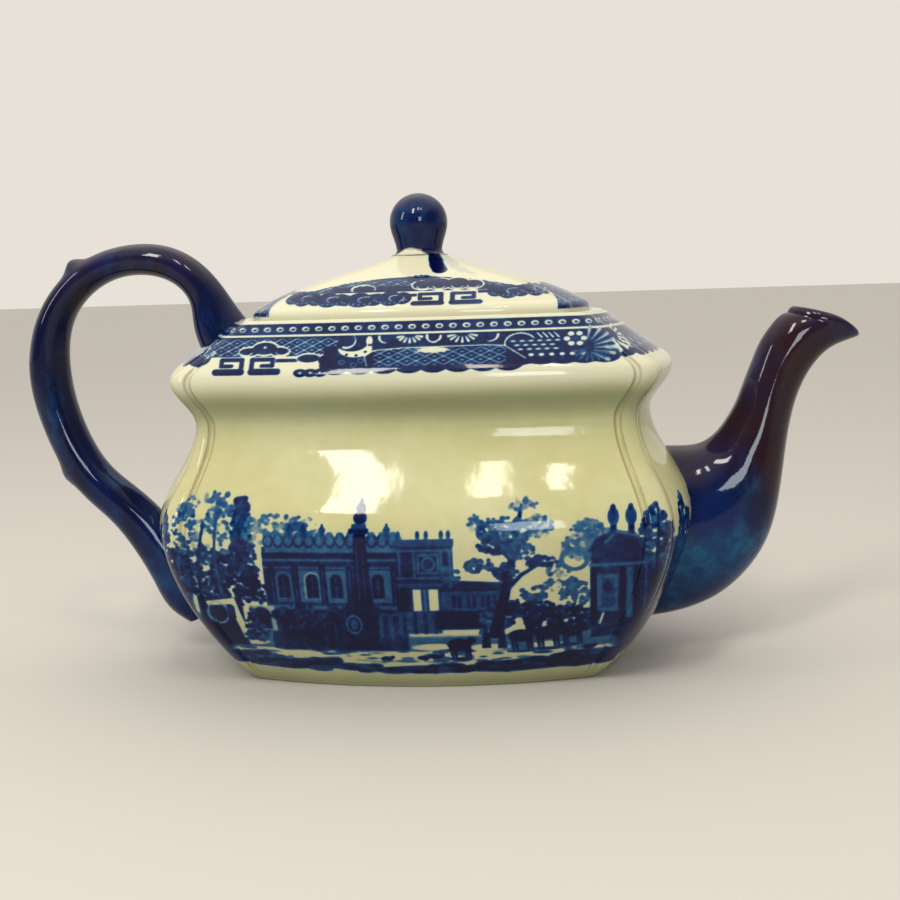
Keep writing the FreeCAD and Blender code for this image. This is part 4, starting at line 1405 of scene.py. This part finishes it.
def spout():
    rings = smooth_through(SPOUT_OVALS, SPOUT_ROWS)
    lean = np.radians(rings[:, 2])
    along = np.stack([np.cos(lean), np.sin(lean)], axis=1)
    walls = 2.0 * SPOUT_WALL
    outer = oval_skin(rings[:, :2], along, rings[:, 3], rings[:, 4])
    inner = oval_skin(rings[:, :2], along, rings[:, 3] - walls, rings[:, 4] - walls)
    lip = rolled_lip(outer[-1], inner[-1], along[-1])
    easing = (np.linspace(0.0, 1.0, LIP_EASING_ROWS) ** 1.5)[:, None, None]
    outer[-LIP_EASING_ROWS:] += (lip[0] - outer[-1]) * easing
    inner[-LIP_EASING_ROWS:] += (lip[-1] - inner[-1]) * easing
    points = rooted(np.concatenate([outer, lip[1:-1], inner[::-1]]), 1.0)
    rows, columns = points.shape[:2]
    islands = [(0, columns, 0, SPOUT_ROWS, 0.75), (0, columns, SPOUT_ROWS, rows - 1, 0.25)]
    return grid_mesh("teapot_spout", points, islands, closed=False)


def handle():
    rings = smooth_through(HANDLE_OVALS, HANDLE_ROWS)
    centres = rings[:, :2]
    run = np.gradient(centres, axis=0)
    run /= np.linalg.norm(run, axis=1, keepdims=True)
    along = np.stack([run[:, 1], -run[:, 0]], axis=1)
    points = oval_skin(centres, along, rings[:, 2], rings[:, 3])
    middle = np.array([centres[-1, 0], 0.0, centres[-1, 1]])
    onward = HANDLE_TAIL * np.array([run[-1, 0], 0.0, run[-1, 1]])
    tail = [
        middle + (points[-1] - middle) * math.cos(turn) + onward * math.sin(turn)
        for turn in np.radians(np.linspace(15.0, 80.0, 6))
    ]
    points = rooted(np.concatenate([points, np.array(tail)]), -1.0)
    return grid_mesh("teapot_handle", rise(rise(points, *SPUR), *HEEL))


def knob_outline(base):
    """Radius and height up the knob: a cove, a curve out to its widest, and half an ellipse."""
    widest = base + KNOB_WIDEST_HEIGHT
    top = base + KNOB_HEIGHT
    neck = KNOB_NECK_DIAMETER / 2.0 - KNOB_COVE / 3.0
    wide = KNOB_DIAMETER / 2.0
    sunk = base - KNOB_SINK
    outline = [(0.01, sunk), (neck + KNOB_COVE, sunk)]
    for turn in np.radians(np.linspace(0.0, 80.0, 9)):
        hollow = KNOB_COVE * (1.0 - math.sin(turn))
        outline.append((neck + hollow, sunk + KNOB_COVE * (1.0 - math.cos(turn))))
    start = outline[-1][1]
    for share in np.linspace(0.05, 1.0, 36):
        swell = math.sin(share * math.pi / 2.0) ** KNOB_FULLNESS
        outline.append((neck + (wide - neck) * swell, start + (widest - start) * share))
    for turn in np.radians(np.linspace(3.0, 89.6, 40)):
        outline.append((wide * math.cos(turn), widest + (top - widest) * math.sin(turn)))
    return np.array(outline)


def lid_knob():
    base = roof_level(1.0).height
    radii, heights = knob_outline(base).T
    turn = ring_turns()
    x = radii[:, None] * np.cos(turn)
    y = radii[:, None] * np.sin(turn)
    z = np.repeat(heights[:, None], RING_COLUMNS, axis=1)
    piece = grid_mesh("teapot_knob", np.stack([x, y, z], axis=-1))
    hem = base + HEM_LOW + HEM_ARCH * np.cos(2.0 * turn - HEM_TURN)
    add_attribute(piece, "bare", np.clip((hem - z) / HEM_SOFTNESS + 0.5, 0.0, 1.0))
    return piece


# --- Studio --------------------------------------------------------------------------------------
ROOM_COLOR = (1.0, 0.94, 0.86)
ROOM_FRONT = 0.22           # brightness of the wall behind the camera
ROOM_BACK = 0.80            # and of the wall behind the pot
ROOM_CEILING = 1.0
CAMERA_PLACE = (0.03946, -0.3904, 0.12041)
CAMERA_PITCH = 7.96         # degrees down
CAMERA_YAW = -4.65          # towards +X
CAMERA_ROLL = -1.76
CAMERA_LENS = 49.1
CAMERA_SENSOR = 36.0
WARM = (1.0, 0.90, 0.72)
COOL = (0.86, 0.94, 1.0)
SOFTBOXES = [               # name, place, aim, width and height in metres, watts, colour
    ("window", (-0.22, -0.62, 0.76), (-0.02, -0.05, 0.07), 0.11, 0.34, 3.2, (1.0, 0.98, 0.90)),
    ("lamp", (0.06, -0.50, 0.80), (0.02, -0.05, 0.07), 0.06, 0.16, 0.8, WARM),
    ("second_lamp", (0.20, -0.48, 0.80), (0.04, -0.05, 0.07), 0.04, 0.12, 0.5, WARM),
    ("far_window", (0.22, -1.10, 0.34), (0.02, -0.05, 0.07), 0.22, 0.30, 2.8, COOL),
    ("side_window", (-0.75, -0.35, 0.45), (-0.05, 0, 0.07), 0.10, 0.40, 1.6, (1.0, 0.97, 0.90)),
]
FLOOR_REACH = 8.0
FLOOR_COLOR = (0.47, 0.455, 0.43, 1.0)
FLOOR_ROUGHNESS = 0.8


def camera():
    pitch, yaw, roll = [math.radians(a) for a in (CAMERA_PITCH, CAMERA_YAW, CAMERA_ROLL)]
    data = bpy.data.cameras.new("camera")
    data.lens = CAMERA_LENS
    data.sensor_width = CAMERA_SENSOR
    data.clip_start = 0.01
    eye = bpy.data.objects.new("camera", data)
    turn = Matrix.Rotation(-yaw, 4, "Z") @ Matrix.Rotation(math.pi / 2.0 - pitch, 4, "X")
    eye.matrix_world = Matrix.Translation(CAMERA_PLACE) @ turn @ Matrix.Rotation(roll, 4, "Z")
    bpy.context.scene.collection.objects.link(eye)
    bpy.context.scene.camera = eye


def softbox(name, place, aim, width, height, power, color):
    data = bpy.data.lights.new(name, "AREA")
    data.shape = "RECTANGLE"
    data.size = width
    data.size_y = height
    data.energy = power
    data.color = color
    lamp = bpy.data.objects.new(name, data)
    turn = (Vector(aim) - Vector(place)).to_track_quat("-Z", "Y")
    lamp.matrix_world = Matrix.Translation(place) @ turn.to_matrix().to_4x4()
    bpy.context.scene.collection.objects.link(lamp)


def floor():
    mesh = bpy.data.meshes.new("floor")
    near, far = -FLOOR_REACH, FLOOR_REACH
    mesh.from_pydata([(near, near, 0), (far, near, 0), (far, far, 0), (near, far, 0)], [], [(0, 1, 2, 3)])
    piece = bpy.data.objects.new("floor", mesh)
    bpy.context.scene.collection.objects.link(piece)
    nodes = Nodes(bpy.data.materials.new("pale_table"))
    shader = nodes.tree.nodes["Principled BSDF"]
    shader.inputs["Base Color"].default_value = FLOOR_COLOR
    shader.inputs["Roughness"].default_value = FLOOR_ROUGHNESS
    mesh.materials.append(nodes.owner)


def world():
    """A pale room, darker in front of the pot than behind it, under a bright ceiling.

    The camera sees the same pale wall on all sides.
    """
    nodes = Nodes(bpy.data.worlds.new("studio"))
    walls = nodes.span(nodes.place("Generated", "Y"), -0.35, 0.45, ROOM_FRONT, ROOM_BACK)
    ceiling = nodes.span(nodes.place("Generated", "Z"), 0.45, 0.85, 0.0, ROOM_CEILING)
    seen = nodes.add("ShaderNodeLightPath").outputs["Is Camera Ray"]
    room = nodes.times(nodes.plus(walls, ceiling), nodes.minus(1.0, seen))
    background = nodes.tree.nodes["Background"]
    background.inputs["Color"].default_value = (*ROOM_COLOR, 1.0)
    nodes.put(nodes.plus(room, nodes.times(seen, ROOM_BACK)), background.inputs["Strength"])
    bpy.context.scene.world = nodes.owner


def studio():
    camera()
    floor()
    world()
    for box in SOFTBOXES:
        softbox(*box)
    bpy.context.scene.view_settings.view_transform = "Standard"


def dress(piece, node, body, material):
    piece.data.materials.append(material)
    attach(piece, body)
    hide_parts(node)


def main():
    prints = printed_glaze()
    spout_cobalt = cobalt_glaze("spout_cobalt")
    handle_cobalt = cobalt_glaze("handle_cobalt", 0.11, 0.14, 0.7, 0.03)
    dress(pot_body(), "pot_body", "pot", prints)
    dress(lid(), "lid", "lid", prints)
    dress(spout(), "spout", "pot", spout_cobalt)
    dress(handle(), "handle", "pot", handle_cobalt)
    dress(lid_knob(), "lid_knob", "lid", knob_glaze())
    studio()


main()
